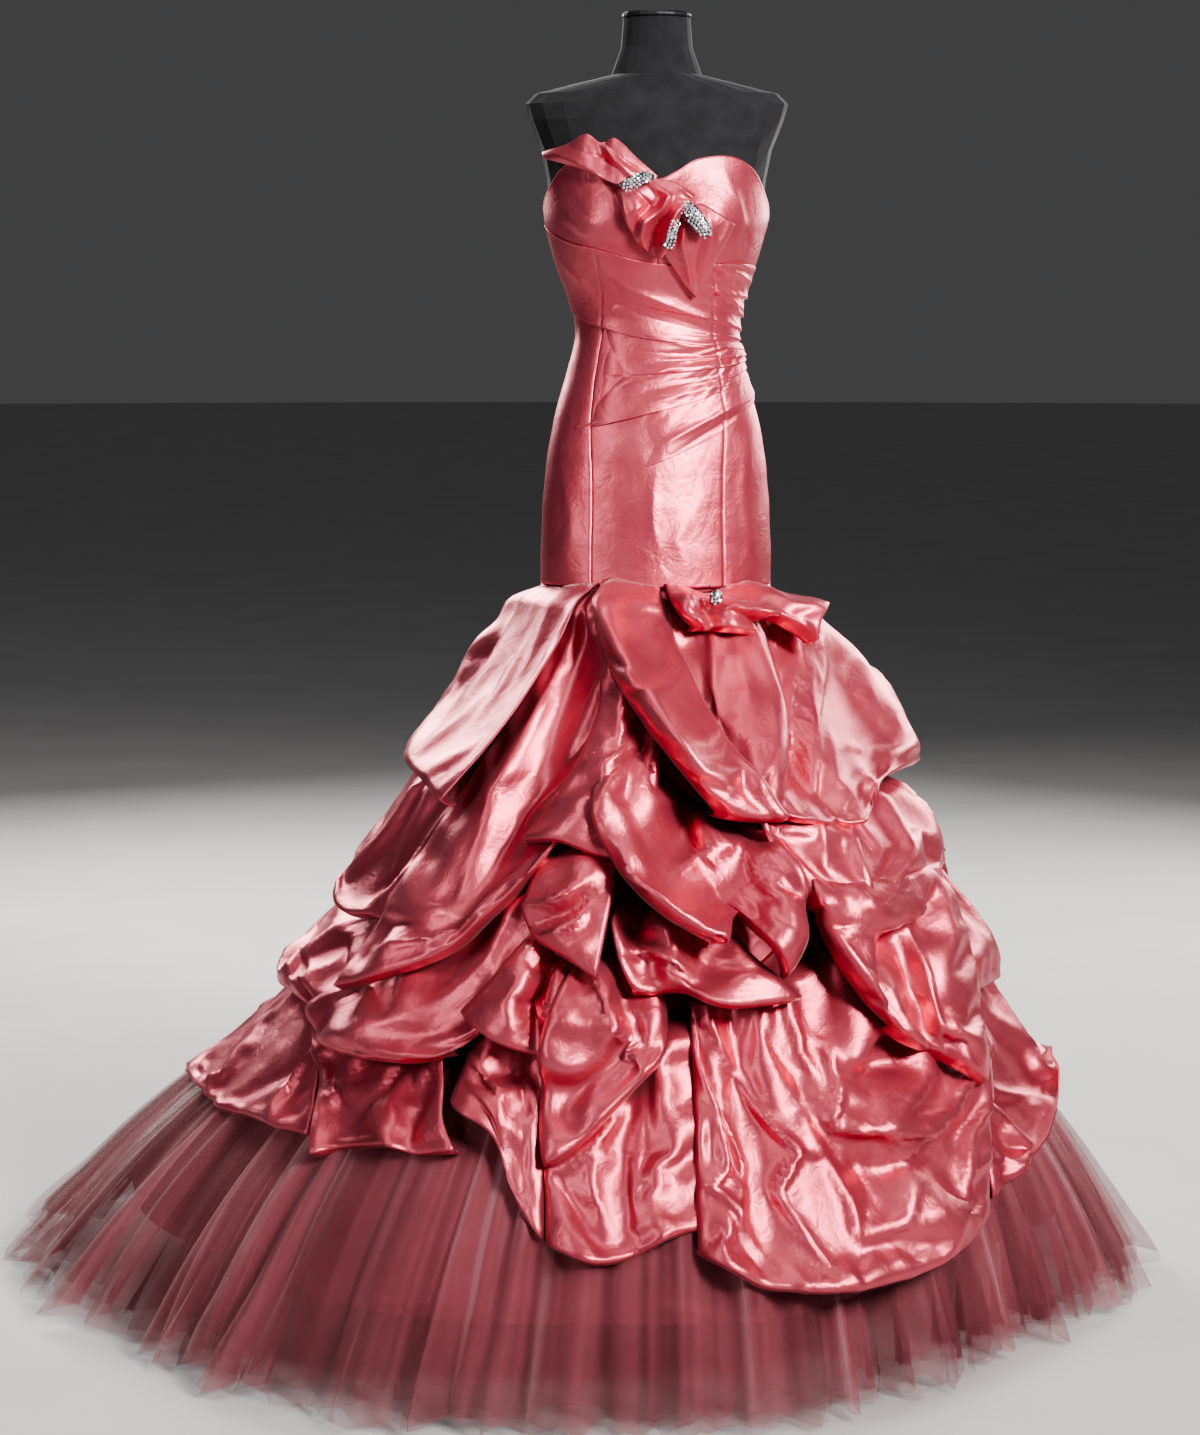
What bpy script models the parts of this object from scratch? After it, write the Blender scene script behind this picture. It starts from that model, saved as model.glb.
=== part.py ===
"""Strapless mermaid gown of satin and tulle on a limbless dress form.

Metres, +Z up, front towards -Y, origin on the floor under the stand's pole. Angles are in degrees
round the Z axis: 0 is the front, 90 the side towards +X and 180 the back. Left and right in the
names are as seen from the front.
"""
import math

import bpy
from mathutils import Vector
from mathutils.bvhtree import BVHTree

# ---------------------------------------------------------------- driving dimensions
SATIN_WALL = 0.0015          # duchess satin with its backing
WRAP_WALL = 0.0012           # draped strips of the bodice
TULLE_WALL = 0.0012          # a gathered layer of tulle
SEAM_GAP = 0.0003            # between pieces that are sewn edge to edge
CUP_GAP = 0.0011              # between the cups, whose walls lean together in the dip
UNDER_BUST_GAP = 0.0036      # between cups and gores, whose curved edges have unlike steps
TIER_GAP = 0.0014             # under the gores, as the underskirt's flaring wall rises outwards
SEAT_GAP = 0.0005            # between a fold and what it is caught down to
BOW_SEAT_GAP = 0.0008        # the same for the bow at the bust, over the edges under it
LOOSE_GAP = 0.0035           # between a fold and the cloth it hangs over
TIER_SEAM = 1.008            # height of the seam between the fitted gores and the skirt
SATIN_RISE = 0.015           # height of the overskirt's own base above the skirt's cone
HEM_TURN_DROP = 0.010        # how far a bubble hem turns down past its fold
HEM_TURN_IN = 0.028          # how far it turns back in

POLE_RADIUS = 0.014
BASE_RADIUS = 0.17
BASE_HEIGHT = 0.020
NECK_CAP_RADIUS = 0.047
NECK_CAP_HEIGHT = 0.008

# The fitted body: height, half width, depth in front, depth behind.
BODY = [
    (1.000, 0.1590, 0.1180, 0.1270), (1.066, 0.1580, 0.1160, 0.1300), (1.121, 0.1550, 0.1130, 0.1280),
    (1.177, 0.1500, 0.1100, 0.1220), (1.232, 0.1400, 0.1040, 0.1080), (1.287, 0.1250, 0.0960, 0.0910),
    (1.342, 0.1110, 0.0900, 0.0800), (1.369, 0.1110, 0.0910, 0.0800), (1.397, 0.1170, 0.0980, 0.0840),
    (1.424, 0.1270, 0.1080, 0.0880), (1.451, 0.1370, 0.1220, 0.0910), (1.479, 0.1450, 0.1340, 0.0930),
    (1.506, 0.1520, 0.1400, 0.0940), (1.560, 0.1550, 0.1290, 0.0920), (1.620, 0.1570, 0.1160, 0.0880),
]
# The dress form inside it and above it: height, half width, depth in front, depth behind.
FORM = [
    (0.930, 0.1180, 0.0840, 0.0940), (0.965, 0.1460, 0.1060, 0.1140), (1.010, 0.1550, 0.1140, 0.1230),
    (1.121, 0.1500, 0.1085, 0.1235), (1.177, 0.1455, 0.1058, 0.1172), (1.232, 0.1355, 0.0998, 0.1038),
    (1.287, 0.1216, 0.0930, 0.0878), (1.342, 0.1099, 0.0891, 0.0785), (1.369, 0.1096, 0.0894, 0.0778),
    (1.397, 0.1135, 0.0945, 0.0803), (1.451, 0.1310, 0.1110, 0.0860), (1.506, 0.1450, 0.1270, 0.0880),
    (1.560, 0.1500, 0.1180, 0.0860), (1.600, 0.1580, 0.1020, 0.0800), (1.640, 0.1740, 0.0860, 0.0720),
    (1.662, 0.1800, 0.0720, 0.0640), (1.676, 0.1660, 0.0620, 0.0560), (1.690, 0.1100, 0.0560, 0.0500),
    (1.701, 0.0620, 0.0520, 0.0480), (1.738, 0.0490, 0.0480, 0.0460), (1.777, 0.0460, 0.0460, 0.0460),
]
# The skirt's cone: height, radius at the front.
CONE = [
    (0.00, 0.655), (0.10, 0.605), (0.20, 0.550), (0.30, 0.490), (0.40, 0.435), (0.50, 0.390),
    (0.60, 0.345), (0.70, 0.300), (0.80, 0.255), (0.90, 0.205), (0.95, 0.175), (1.02, 0.150),
]
# The hem on the floor: angle, radius. It runs out to a train behind and to the left.
HEM = [
    (-180, 0.85), (-150, 0.95), (-118, 1.00), (-88, 0.90), (-66, 0.76), (-44, 0.75), (-20, 0.69),
    (0, 0.655), (13, 0.646), (30, 0.60), (50, 0.557), (64, 0.585), (90, 0.69), (120, 0.74),
    (150, 0.80), (180, 0.85),
]
TRAIN_HEIGHT = 0.60          # the train's spread begins under this height
TRAIN_POWER = 1.3
ROUND_SKIRT = 0.80           # under this height the skirt is round, above it oval
OVAL_TOP = 1.02
OVAL_FRONT = 0.74            # depth over width at the tier seam, in front and behind
OVAL_BACK = 0.79

# Princess seams: height, angle from the front or from the back.
PRINCESS = [(1.00, 34), (1.15, 35), (1.25, 41), (1.34, 43), (1.42, 37), (1.50, 35)]
# Lines across the front: angle, height.
UNDER_BUST = [(-90, 1.495), (-60, 1.471), (-30, 1.454), (-10, 1.441), (10, 1.436), (60, 1.438), (90, 1.432)]
NECKLINE = [
    (-180, 1.440), (-140, 1.450), (-110, 1.482), (-90, 1.518), (-79, 1.532), (-70, 1.546), (-55, 1.573),
    (-38, 1.588), (-19, 1.583), (-8, 1.566), (0, 1.557), (8, 1.566), (19, 1.583), (38, 1.588),
    (55, 1.572), (70, 1.540), (79, 1.522), (90, 1.505), (110, 1.474), (140, 1.449), (180, 1.440),
]
WAIST_PLEAT = [(-90, 1.384), (-48, 1.364), (-17, 1.348), (15, 1.339), (51, 1.332), (90, 1.328)]
HIGH_HIP_PLEAT = [(-90, 1.214), (-45, 1.222), (15, 1.256), (50, 1.278), (90, 1.290)]
HIP_PLEAT = [(-60, 1.172), (-30, 1.166), (-10, 1.169), (18, 1.198), (55, 1.240), (90, 1.268)]

# Folds of the overskirt, drawn panel by panel from the innermost to the outermost. A row is a fold's
# line down the panel: angle, height and rise above the satin's base at its top, middle and foot.
SATIN_PANELS = {
    "satin_hem_far_left": [
        (-135, 0.55, 0.03, -133, 0.40, 0.05, -131, 0.27, 0.05),
        (-112, 0.50, 0.03, -110, 0.38, 0.05, -108, 0.285, 0.06),
        (-97, 0.474, 0.02, -96, 0.370, 0.04, -91, 0.30, 0.05),
        (-91, 0.474, 0.02, -82, 0.375, 0.03, -79, 0.298, 0.03),
        (-84, 0.482, 0.02, -70, 0.403, 0.05, -64, 0.307, 0.05),
        (-78, 0.481, 0.01, -65, 0.390, 0.02, -55.5, 0.303, 0.02),
    ],
    "satin_hem_left": [
        (-72, 0.418, 0.01, -59, 0.354, 0.03, -51, 0.292, 0.04),
        (-65, 0.429, 0.01, -53.5, 0.360, 0.015, -47.5, 0.306, 0.015),
        (-52.5, 0.448, 0.02, -44.5, 0.377, 0.04, -39, 0.321, 0.04),
        (-45.5, 0.455, 0.01, -40, 0.378, 0.015, -35, 0.314, 0.02),
        (-39, 0.476, 0.02, -33.5, 0.389, 0.04, -28.5, 0.327, 0.05),
    ],
    "satin_hem_centre_left": [
        (-30.5, 0.495, 0.02, -31.5, 0.424, 0.03, -31, 0.379, 0.05),
        (-26, 0.499, 0.02, -25.5, 0.408, 0.04, -24, 0.347, 0.05),
        (-22, 0.498, 0.01, -21, 0.383, 0.02, -19.5, 0.276, 0.02),
        (-18.5, 0.498, 0.01, -17, 0.360, 0.01, -15, 0.229, 0.01),
    ],
    "satin_hem_centre": [
        (-18.5, 0.452, 0.01, -16.5, 0.328, 0.02, -14.5, 0.226, 0.02),
        (-10, 0.457, 0.02, -10, 0.335, 0.04, -8.5, 0.216, 0.04),
        (-3.5, 0.468, 0.01, -4.5, 0.331, 0.02, -3.5, 0.222, 0.02),
        (1.0, 0.482, 0.02, 0.5, 0.358, 0.04, 1, 0.240, 0.04),
        (8.5, 0.489, 0.000, 8, 0.360, 0.000, 7, 0.246, 0.000),
    ],
    "satin_side_right_low": [
        (50, 0.545, 0.01, 57, 0.392, 0.02, 58.5, 0.205, 0.02),
        (64, 0.558, 0.02, 70, 0.365, 0.04, 72, 0.262, 0.05),
        (90, 0.560, 0.02, 94, 0.379, 0.04, 94, 0.331, 0.07),
        (125, 0.520, 0.03, 125, 0.400, 0.05, 124, 0.270, 0.07),
    ],
    "satin_balloon_right": [
        (5.5, 0.521, 0.01, 5, 0.376, 0.02, 4.5, 0.221, 0.03),
        (9, 0.523, 0.02, 9, 0.381, 0.05, 8.5, 0.208, 0.06),
        (13, 0.520, 0.01, 13.5, 0.376, 0.035, 12.5, 0.190, 0.05),
        (18, 0.522, 0.03, 19, 0.380, 0.07, 17.5, 0.182, 0.07),
        (26, 0.550, 0.03, 26, 0.397, 0.07, 23.5, 0.177, 0.08),
        (38, 0.580, 0.04, 35, 0.420, 0.09, 30.5, 0.177, 0.08),
        (52, 0.590, 0.04, 49, 0.417, 0.08, 40, 0.190, 0.08),
        (68, 0.588, 0.03, 62, 0.422, 0.07, 52, 0.214, 0.06),
    ],
    "satin_side_left_low": [
        (-130, 0.62, 0.04, -130, 0.54, 0.07, -128, 0.44, 0.05),
        (-100, 0.56, 0.04, -98, 0.52, 0.08, -92, 0.450, 0.06),
        (-90, 0.548, 0.04, -80, 0.511, 0.08, -70, 0.450, 0.06),
        (-80, 0.552, 0.04, -69, 0.507, 0.07, -60, 0.415, 0.05),
        (-70, 0.590, 0.02, -60, 0.530, 0.03, -50, 0.440, 0.02),
    ],
    "satin_swag_left_low": [
        (-22, 0.690, 0.03, -44, 0.573, 0.04, -68.5, 0.453, 0.04),
        (-18.5, 0.688, 0.04, -35.5, 0.547, 0.07, -59, 0.418, 0.06),
        (-15.5, 0.680, 0.04, -28, 0.523, 0.07, -42.5, 0.425, 0.07),
        (-12.5, 0.663, 0.03, -21, 0.545, 0.04, -33, 0.438, 0.05),
    ],
    "satin_side_left_high": [
        (-128, 0.86, 0.04, -130, 0.74, 0.08, -130, 0.62, 0.06),
        (-100, 0.79, 0.03, -98, 0.68, 0.08, -92, 0.590, 0.08),
        (-87.5, 0.766, 0.03, -84, 0.664, 0.08, -76.5, 0.571, 0.08),
        (-74, 0.765, 0.03, -70, 0.668, 0.06, -64, 0.575, 0.06),
        (-58, 0.790, 0.01, -54, 0.680, 0.03, -50, 0.560, 0.02),
    ],
    "satin_ruffle_centre": [
        (-24, 0.580, 0.03, -28, 0.533, 0.05, -33, 0.485, 0.05),
        (-22, 0.581, 0.03, -22.5, 0.527, 0.07, -25, 0.462, 0.07),
        (-20, 0.581, 0.03, -19.5, 0.512, 0.045, -18.5, 0.444, 0.05),
        (-17.5, 0.582, 0.03, -15, 0.515, 0.08, -13.5, 0.446, 0.08),
        (-15.0, 0.583, 0.03, -12.0, 0.513, 0.055, -10, 0.450, 0.06),
        (-12.5, 0.583, 0.03, -9, 0.530, 0.07, -7, 0.480, 0.07),
    ],
    "satin_fold_centre": [
        (-14, 0.565, 0.03, -18, 0.435, 0.04, -16, 0.316, 0.04),
        (-11, 0.578, 0.03, -12, 0.465, 0.06, -11, 0.350, 0.05),
        (-7, 0.588, 0.04, -6.5, 0.491, 0.07, -4, 0.415, 0.06),
        (-2, 0.567, 0.03, 1, 0.504, 0.04, 0, 0.440, 0.04),
    ],
    "satin_swirl_low": [
        (-7, 0.647, 0.04, -8, 0.599, 0.08, -4.5, 0.527, 0.07),
        (-3.5, 0.640, 0.03, -3.5, 0.583, 0.05, 0, 0.527, 0.06),
        (0, 0.635, 0.04, 1, 0.582, 0.08, 4.5, 0.530, 0.08),
        (5, 0.623, 0.04, 7.5, 0.568, 0.07, 11, 0.514, 0.09),
        (12, 0.604, 0.04, 17, 0.555, 0.08, 22.5, 0.513, 0.08),
    ],
    "satin_point_flap": [
        (-21, 0.716, 0.06, -24, 0.636, 0.08, -22, 0.585, 0.07),
        (-14.5, 0.720, 0.075, -16, 0.636, 0.10, -15.5, 0.570, 0.09),
        (-8, 0.708, 0.06, -8.5, 0.624, 0.09, -10, 0.546, 0.09),
    ],
    "satin_side_right_mid": [
        (44, 0.640, 0.04, 49, 0.580, 0.06, 50, 0.496, 0.05),
        (62, 0.645, 0.03, 64, 0.590, 0.06, 67, 0.472, 0.06),
        (90, 0.660, 0.02, 91, 0.590, 0.05, 92, 0.460, 0.05),
        (120, 0.680, 0.02, 120, 0.590, 0.05, 120, 0.450, 0.06),
    ],
    "satin_puff_right_mid": [
        (17.5, 0.785, 0.05, 20, 0.722, 0.08, 22, 0.662, 0.07),
        (27, 0.780, 0.06, 26.5, 0.703, 0.11, 28, 0.627, 0.09),
        (38, 0.768, 0.06, 34.5, 0.690, 0.12, 34.5, 0.610, 0.09),
        (55, 0.768, 0.05, 46, 0.695, 0.11, 45.5, 0.610, 0.09),
        (73, 0.752, 0.03, 63, 0.688, 0.07, 60, 0.630, 0.07),
        (98, 0.757, 0.02, 92, 0.680, 0.05, 90, 0.620, 0.05),
        (120, 0.760, 0.02, 122, 0.660, 0.05, 120, 0.600, 0.05),
    ],
    "satin_swag_right_low": [
        (26, 0.660, 0.07, 29, 0.555, 0.09, 36.5, 0.470, 0.09),
        (32.5, 0.650, 0.08, 36, 0.545, 0.12, 40, 0.450, 0.11),
        (44.5, 0.650, 0.07, 45, 0.536, 0.08, 46, 0.430, 0.08),
        (57, 0.648, 0.07, 51, 0.525, 0.12, 50, 0.400, 0.11),
        (68, 0.640, 0.06, 63, 0.517, 0.09, 56, 0.370, 0.09),
    ],
    "satin_drape_left": [
        (-31, 1.010, 0.02, -50.5, 0.786, 0.05, -59, 0.492, 0.09),
        (-29.5, 1.011, 0.03, -40, 0.790, 0.09, -48.5, 0.520, 0.10),
        (-28, 1.012, 0.03, -31.5, 0.800, 0.06, -38, 0.560, 0.09),
        (-26.5, 1.012, 0.03, -22, 0.830, 0.08, -29.5, 0.620, 0.09),
        (-25, 1.008, 0.02, -12, 0.880, 0.08, -21.5, 0.690, 0.09),
    ],
    "satin_drape_centre": [
        (-26, 1.002, 0.02, -15, 0.878, 0.07, -27.5, 0.704, 0.08),
        (-24, 0.998, 0.02, -9.5, 0.885, 0.10, -18.5, 0.712, 0.11),
        (-22.5, 0.995, 0.02, -5, 0.878, 0.08, -11, 0.692, 0.09),
        (-20.5, 0.990, 0.01, -1.5, 0.860, 0.07, -5, 0.684, 0.07),
    ],
    "satin_cowl_centre": [
        (-12.5, 0.778, 0.06, -7.5, 0.680, 0.10, 7.5, 0.590, 0.11),
        (-8.5, 0.800, 0.07, -2.5, 0.690, 0.13, 10, 0.605, 0.13),
        (-4, 0.810, 0.06, 1.5, 0.700, 0.09, 12, 0.620, 0.10),
        (4.5, 0.764, 0.04, 7, 0.690, 0.05, 13.5, 0.625, 0.08),
        (13, 0.733, 0.05, 14.5, 0.660, 0.09, 15, 0.610, 0.11),
        (19, 0.721, 0.06, 20, 0.638, 0.12, 17.5, 0.585, 0.13),
        (24, 0.705, 0.05, 24.5, 0.610, 0.10, 20, 0.545, 0.10),
    ],
    "satin_puff_right_top": [
        (-4, 1.000, 0.01, 2, 0.900, 0.03, 6, 0.820, 0.03),
        (12, 0.988, 0.01, 12, 0.890, 0.05, 12.5, 0.805, 0.06),
        (21, 0.992, 0.02, 16.5, 0.872, 0.08, 17, 0.777, 0.09),
        (32, 0.996, 0.02, 22.5, 0.856, 0.11, 22.5, 0.751, 0.10),
        (44, 0.999, 0.02, 29, 0.841, 0.11, 28.5, 0.736, 0.11),
        (54, 1.001, 0.01, 38, 0.832, 0.05, 34.5, 0.729, 0.08),
        (64, 1.002, 0.02, 46, 0.835, 0.08, 39.5, 0.725, 0.10),
        (75, 1.002, 0.01, 56, 0.844, 0.07, 46, 0.732, 0.09),
        (90, 1.002, 0.01, 76, 0.852, 0.05, 63, 0.765, 0.07),
        (122, 1.001, 0.01, 124, 0.850, 0.05, 124, 0.740, 0.07),
    ],
    "satin_flap_left_top": [
        (-122, 1.001, 0.01, -122, 0.915, 0.03, -122, 0.830, 0.06),
        (-66, 1.005, 0.01, -76, 0.906, 0.02, -89, 0.785, 0.07),
        (-44, 1.012, 0.02, -46, 0.897, 0.05, -60, 0.765, 0.09),
        (-30, 1.016, 0.03, -34, 0.887, 0.08, -46.5, 0.742, 0.10),
    ],
    "satin_roll_centre": [
        (-27, 1.020, 0.04, -5, 0.864, 0.10, 10.5, 0.744, 0.09),
        (-21, 1.022, 0.05, -0.5, 0.877, 0.14, 14, 0.742, 0.11),
        (-12.5, 1.018, 0.04, 7, 0.876, 0.11, 19, 0.738, 0.11),
        (1, 1.010, 0.02, 12.5, 0.877, 0.06, 24, 0.738, 0.10),
    ],
}
# Swags behind: name, first and last angle, height where they are caught up, height of the foot at
# the ends and in the middle, the rise of the belly, and how far the belly leans to the last angle.
BACK_SWAGS = [
    ("satin_back_low_left", 206, 242, 0.52, 0.27, 0.22, 0.075, 1.2),
    ("satin_back_low_right", 118, 156, 0.53, 0.29, 0.23, 0.070, 0.8),
    ("satin_back_low_centre", 150, 212, 0.55, 0.26, 0.19, 0.090, 1.1),
    ("satin_back_mid_left", 200, 250, 0.76, 0.52, 0.44, 0.080, 0.75),
    ("satin_back_mid_right", 110, 160, 0.80, 0.56, 0.48, 0.085, 1.3),
    ("satin_back_mid_centre", 150, 209, 0.79, 0.50, 0.43, 0.095, 0.85),
    ("satin_back_top_left", 176, 250, 1.002, 0.80, 0.70, 0.080, 1.25),
    ("satin_back_top_right", 110, 184, 1.002, 0.78, 0.67, 0.090, 0.9),
]
SWAG_DEPTHS = (1.0, 0.55, 0.9, 0.65, 1.0)   # share of the belly's rise at each of a swag's folds
# The bow at the hip, in the same columns as the folds above.
HIP_BOW = {
    "hip_bow_tail": [
        (23, 1.003, 0.04, 21, 0.998, 0.06, 22, 0.989, 0.05),
        (48, 1.016, 0.03, 38.5, 1.002, 0.07, 37.5, 0.980, 0.07),
        (62.5, 1.005, 0.05, 47, 0.991, 0.09, 46, 0.962, 0.08),
        (66, 0.996, 0.09, 52.5, 0.978, 0.11, 49.5, 0.946, 0.10),
    ],
    "hip_bow_loop": [
        (4, 1.015, 0.02, 5.5, 0.991, 0.04, 11, 0.965, 0.04),
        (11, 1.015, 0.05, 10, 0.997, 0.08, 14, 0.968, 0.07),
        (20, 1.005, 0.03, 17.5, 0.988, 0.04, 18.5, 0.965, 0.05),
        (29, 0.998, 0.04, 23.5, 0.984, 0.07, 24.5, 0.964, 0.07),
        (40, 0.985, 0.03, 36, 0.971, 0.04, 35.5, 0.956, 0.04),
    ],
}
# The bow at the bust. A row is a fold's line: place across, height and rise above the bodice at
# its top, middle and foot.
BUST_BOW = {
    "bust_bow_upper_leaf": [
        (-0.1440, 1.595, 0.012, -0.1430, 1.591, 0.013, -0.1420, 1.587, 0.012),
        (-0.1150, 1.604, 0.010, -0.1120, 1.588, 0.016, -0.1050, 1.574, 0.010),
        (-0.0890, 1.617, 0.012, -0.0850, 1.587, 0.020, -0.0750, 1.561, 0.012),
        (-0.0710, 1.605, 0.009, -0.0700, 1.582, 0.013, -0.0640, 1.555, 0.009),
        (-0.0520, 1.610, 0.013, -0.0520, 1.578, 0.019, -0.0500, 1.549, 0.011),
        (-0.0260, 1.584, 0.008, -0.0300, 1.563, 0.014, -0.0350, 1.545, 0.008),
        (0.0000, 1.560, 0.006, -0.0060, 1.550, 0.008, -0.0120, 1.541, 0.006),
    ],
    "bust_bow_lower_leaf": [
        (0.0200, 1.515, 0.008, 0.0140, 1.488, 0.010, 0.0080, 1.458, 0.008),
        (0.0500, 1.524, 0.010, 0.0360, 1.475, 0.015, 0.0220, 1.435, 0.010),
        (0.0740, 1.512, 0.010, 0.0550, 1.460, 0.016, 0.0360, 1.412, 0.011),
        (0.0970, 1.497, 0.009, 0.0720, 1.450, 0.011, 0.0460, 1.399, 0.012),
    ],
    "bust_bow_knot": [
        (-0.0500, 1.542, 0.012, -0.0460, 1.520, 0.014, -0.0300, 1.478, 0.010),
        (-0.0280, 1.549, 0.018, -0.0240, 1.518, 0.030, -0.0170, 1.464, 0.016),
        (-0.0040, 1.556, 0.016, -0.0030, 1.510, 0.020, -0.0060, 1.456, 0.014),
        (0.0200, 1.551, 0.020, 0.0180, 1.512, 0.032, 0.0040, 1.453, 0.018),
        (0.0450, 1.535, 0.014, 0.0320, 1.518, 0.018, 0.0140, 1.470, 0.012),
    ],
}
# Rhinestone brooches: name, place across, height, half length, half width, tilt of the length.
BROOCHES = [
    ("brooch_upper", -0.028, 1.5535, 0.024, 0.009, 18),
    ("brooch_lower_left", 0.0180, 1.4820, 0.021, 0.007, 68),
    ("brooch_lower_right", 0.0500, 1.5030, 0.028, 0.011, -55),
    ("brooch_hip", 0.0770, 1.0030, 0.011, 0.008, 70),
]
BROOCH_HEIGHT = 0.006

# name: colour, roughness, metallic
MATERIALS = {
    "satin": ((0.72, 0.16, 0.17, 1), 0.32, 0.0),
    "tulle": ((0.60, 0.20, 0.22, 1), 0.85, 0.0),
    "jersey": ((0.010, 0.010, 0.012, 1), 0.90, 0.0),
    "gloss_black": ((0.012, 0.012, 0.014, 1), 0.20, 0.0),
    "steel": ((0.35, 0.35, 0.36, 1), 0.35, 1.0),
    "rhinestone": ((0.85, 0.87, 0.90, 1), 0.10, 0.6),
}

# Layers of the tulle: name, top height, count of waves, steps down, wave depth at the floor, rise
# at the floor, phase of the waves.
TULLE_LAYERS = [
    ("tulle_inner", 0.430, 30, 3, 0.014, -0.042, 0.9),
    ("tulle_outer", 0.500, 44, 4, 0.020, -0.012, 0.0),
]
UNDERSKIRT_FOOT = 0.115
UNDERSKIRT_TOP_RISE = -0.0065   # its inner face, measured from the cone
UNDERSKIRT_FOOT_RISE = -0.0500
UNDERSKIRT_ROWS = 6
UNDERSKIRT_COLUMNS = 30


# ---------------------------------------------------------------- curves through the tables
def value(rows, column, at):
    """Smooth value of a table's column at a place in its first column, level past its ends."""
    if at <= rows[0][0]:
        return rows[0][column]
    if at >= rows[-1][0]:
        return rows[-1][column]
    i = max(k for k in range(len(rows) - 1) if rows[k][0] <= at)

    def slope(k):
        low, high = max(k - 1, 0), min(k + 1, len(rows) - 1)
        return (rows[high][column] - rows[low][column]) / (rows[high][0] - rows[low][0])

    step = rows[i + 1][0] - rows[i][0]
    t = (at - rows[i][0]) / step
    start, end = rows[i][column], rows[i + 1][column]
    return (start * (1 + 2 * t) * (1 - t) ** 2 + end * t * t * (3 - 2 * t)
            + step * (slope(i) * t * (1 - t) ** 2 - slope(i + 1) * t * t * (1 - t)))


def blend(start, end, part):
    return start + (end - start) * part


def smoothstep(low, high, at):
    t = min(max((at - low) / (high - low), 0.0), 1.0)
    return t * t * (3 - 2 * t)


def wrapped(angle):
    """The same angle between -180 and 180."""
    return (angle + 180) % 360 - 180


# ---------------------------------------------------------------- the surfaces that cloth lies on
def bust(angle, height):
    """Share by which the cups stand out of the body's oval, and dip between them."""
    level = math.exp(-((height - 1.500) / 0.060) ** 2)
    cup = 0.10 * math.exp(-((abs(angle) - 36) / 20) ** 2)
    dip = 0.06 * math.exp(-(angle / 14) ** 2)
    return level * (cup - dip)


def oval(rows, angle, height, shape=0.0):
    """Point of a table's oval section, and the direction out of it."""
    turn = math.radians(angle)
    outward = Vector((math.sin(turn), -math.cos(turn), 0))
    depth = value(rows, 2 if outward.y < 0 else 3, height) * (1 + shape)
    return Vector((value(rows, 1, height) * outward.x, depth * outward.y, height)), outward


def body_spot(angle, height, rise=0.0):
    """Place on the fitted body, raised from it, and the direction out of it."""
    angle = wrapped(angle)
    point, outward = oval(BODY, angle, height, bust(angle, height))
    return point, outward, rise


def cone_radius(angle, height):
    train = max(0.0, 1 - height / TRAIN_HEIGHT) ** TRAIN_POWER
    return value(CONE, 1, height) + (value(HEM, 1, wrapped(angle)) - CONE[0][1]) * train


def skirt_spot(angle, height, rise=0.0):
    """Place on the skirt's cone, raised from it, and the direction out of it."""
    turn = math.radians(angle)
    outward = Vector((math.sin(turn), -math.cos(turn), 0))
    front = (1 + math.cos(turn)) / 2
    narrow = blend(OVAL_BACK, OVAL_FRONT, front)
    depth = blend(1.0, narrow, smoothstep(ROUND_SKIRT, OVAL_TOP, height))
    radius = cone_radius(angle, height)
    return Vector((radius * outward.x, radius * depth * outward.y, height)), outward, rise


# ---------------------------------------------------------------- objects and materials
def remove_everything():
    for scene_object in list(bpy.data.objects):
        bpy.data.objects.remove(scene_object, do_unlink=True)


def new_collection(name):
    collection = bpy.data.collections.new(name)
    bpy.context.scene.collection.children.link(collection)
    return collection


def new_material(name):
    colour, roughness, metallic = MATERIALS[name]
    material = bpy.data.materials.new(name)
    material.use_nodes = True
    shader = material.node_tree.nodes["Principled BSDF"]
    shader.inputs["Base Color"].default_value = colour
    shader.inputs["Roughness"].default_value = roughness
    shader.inputs["Metallic"].default_value = metallic
    return material


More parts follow.
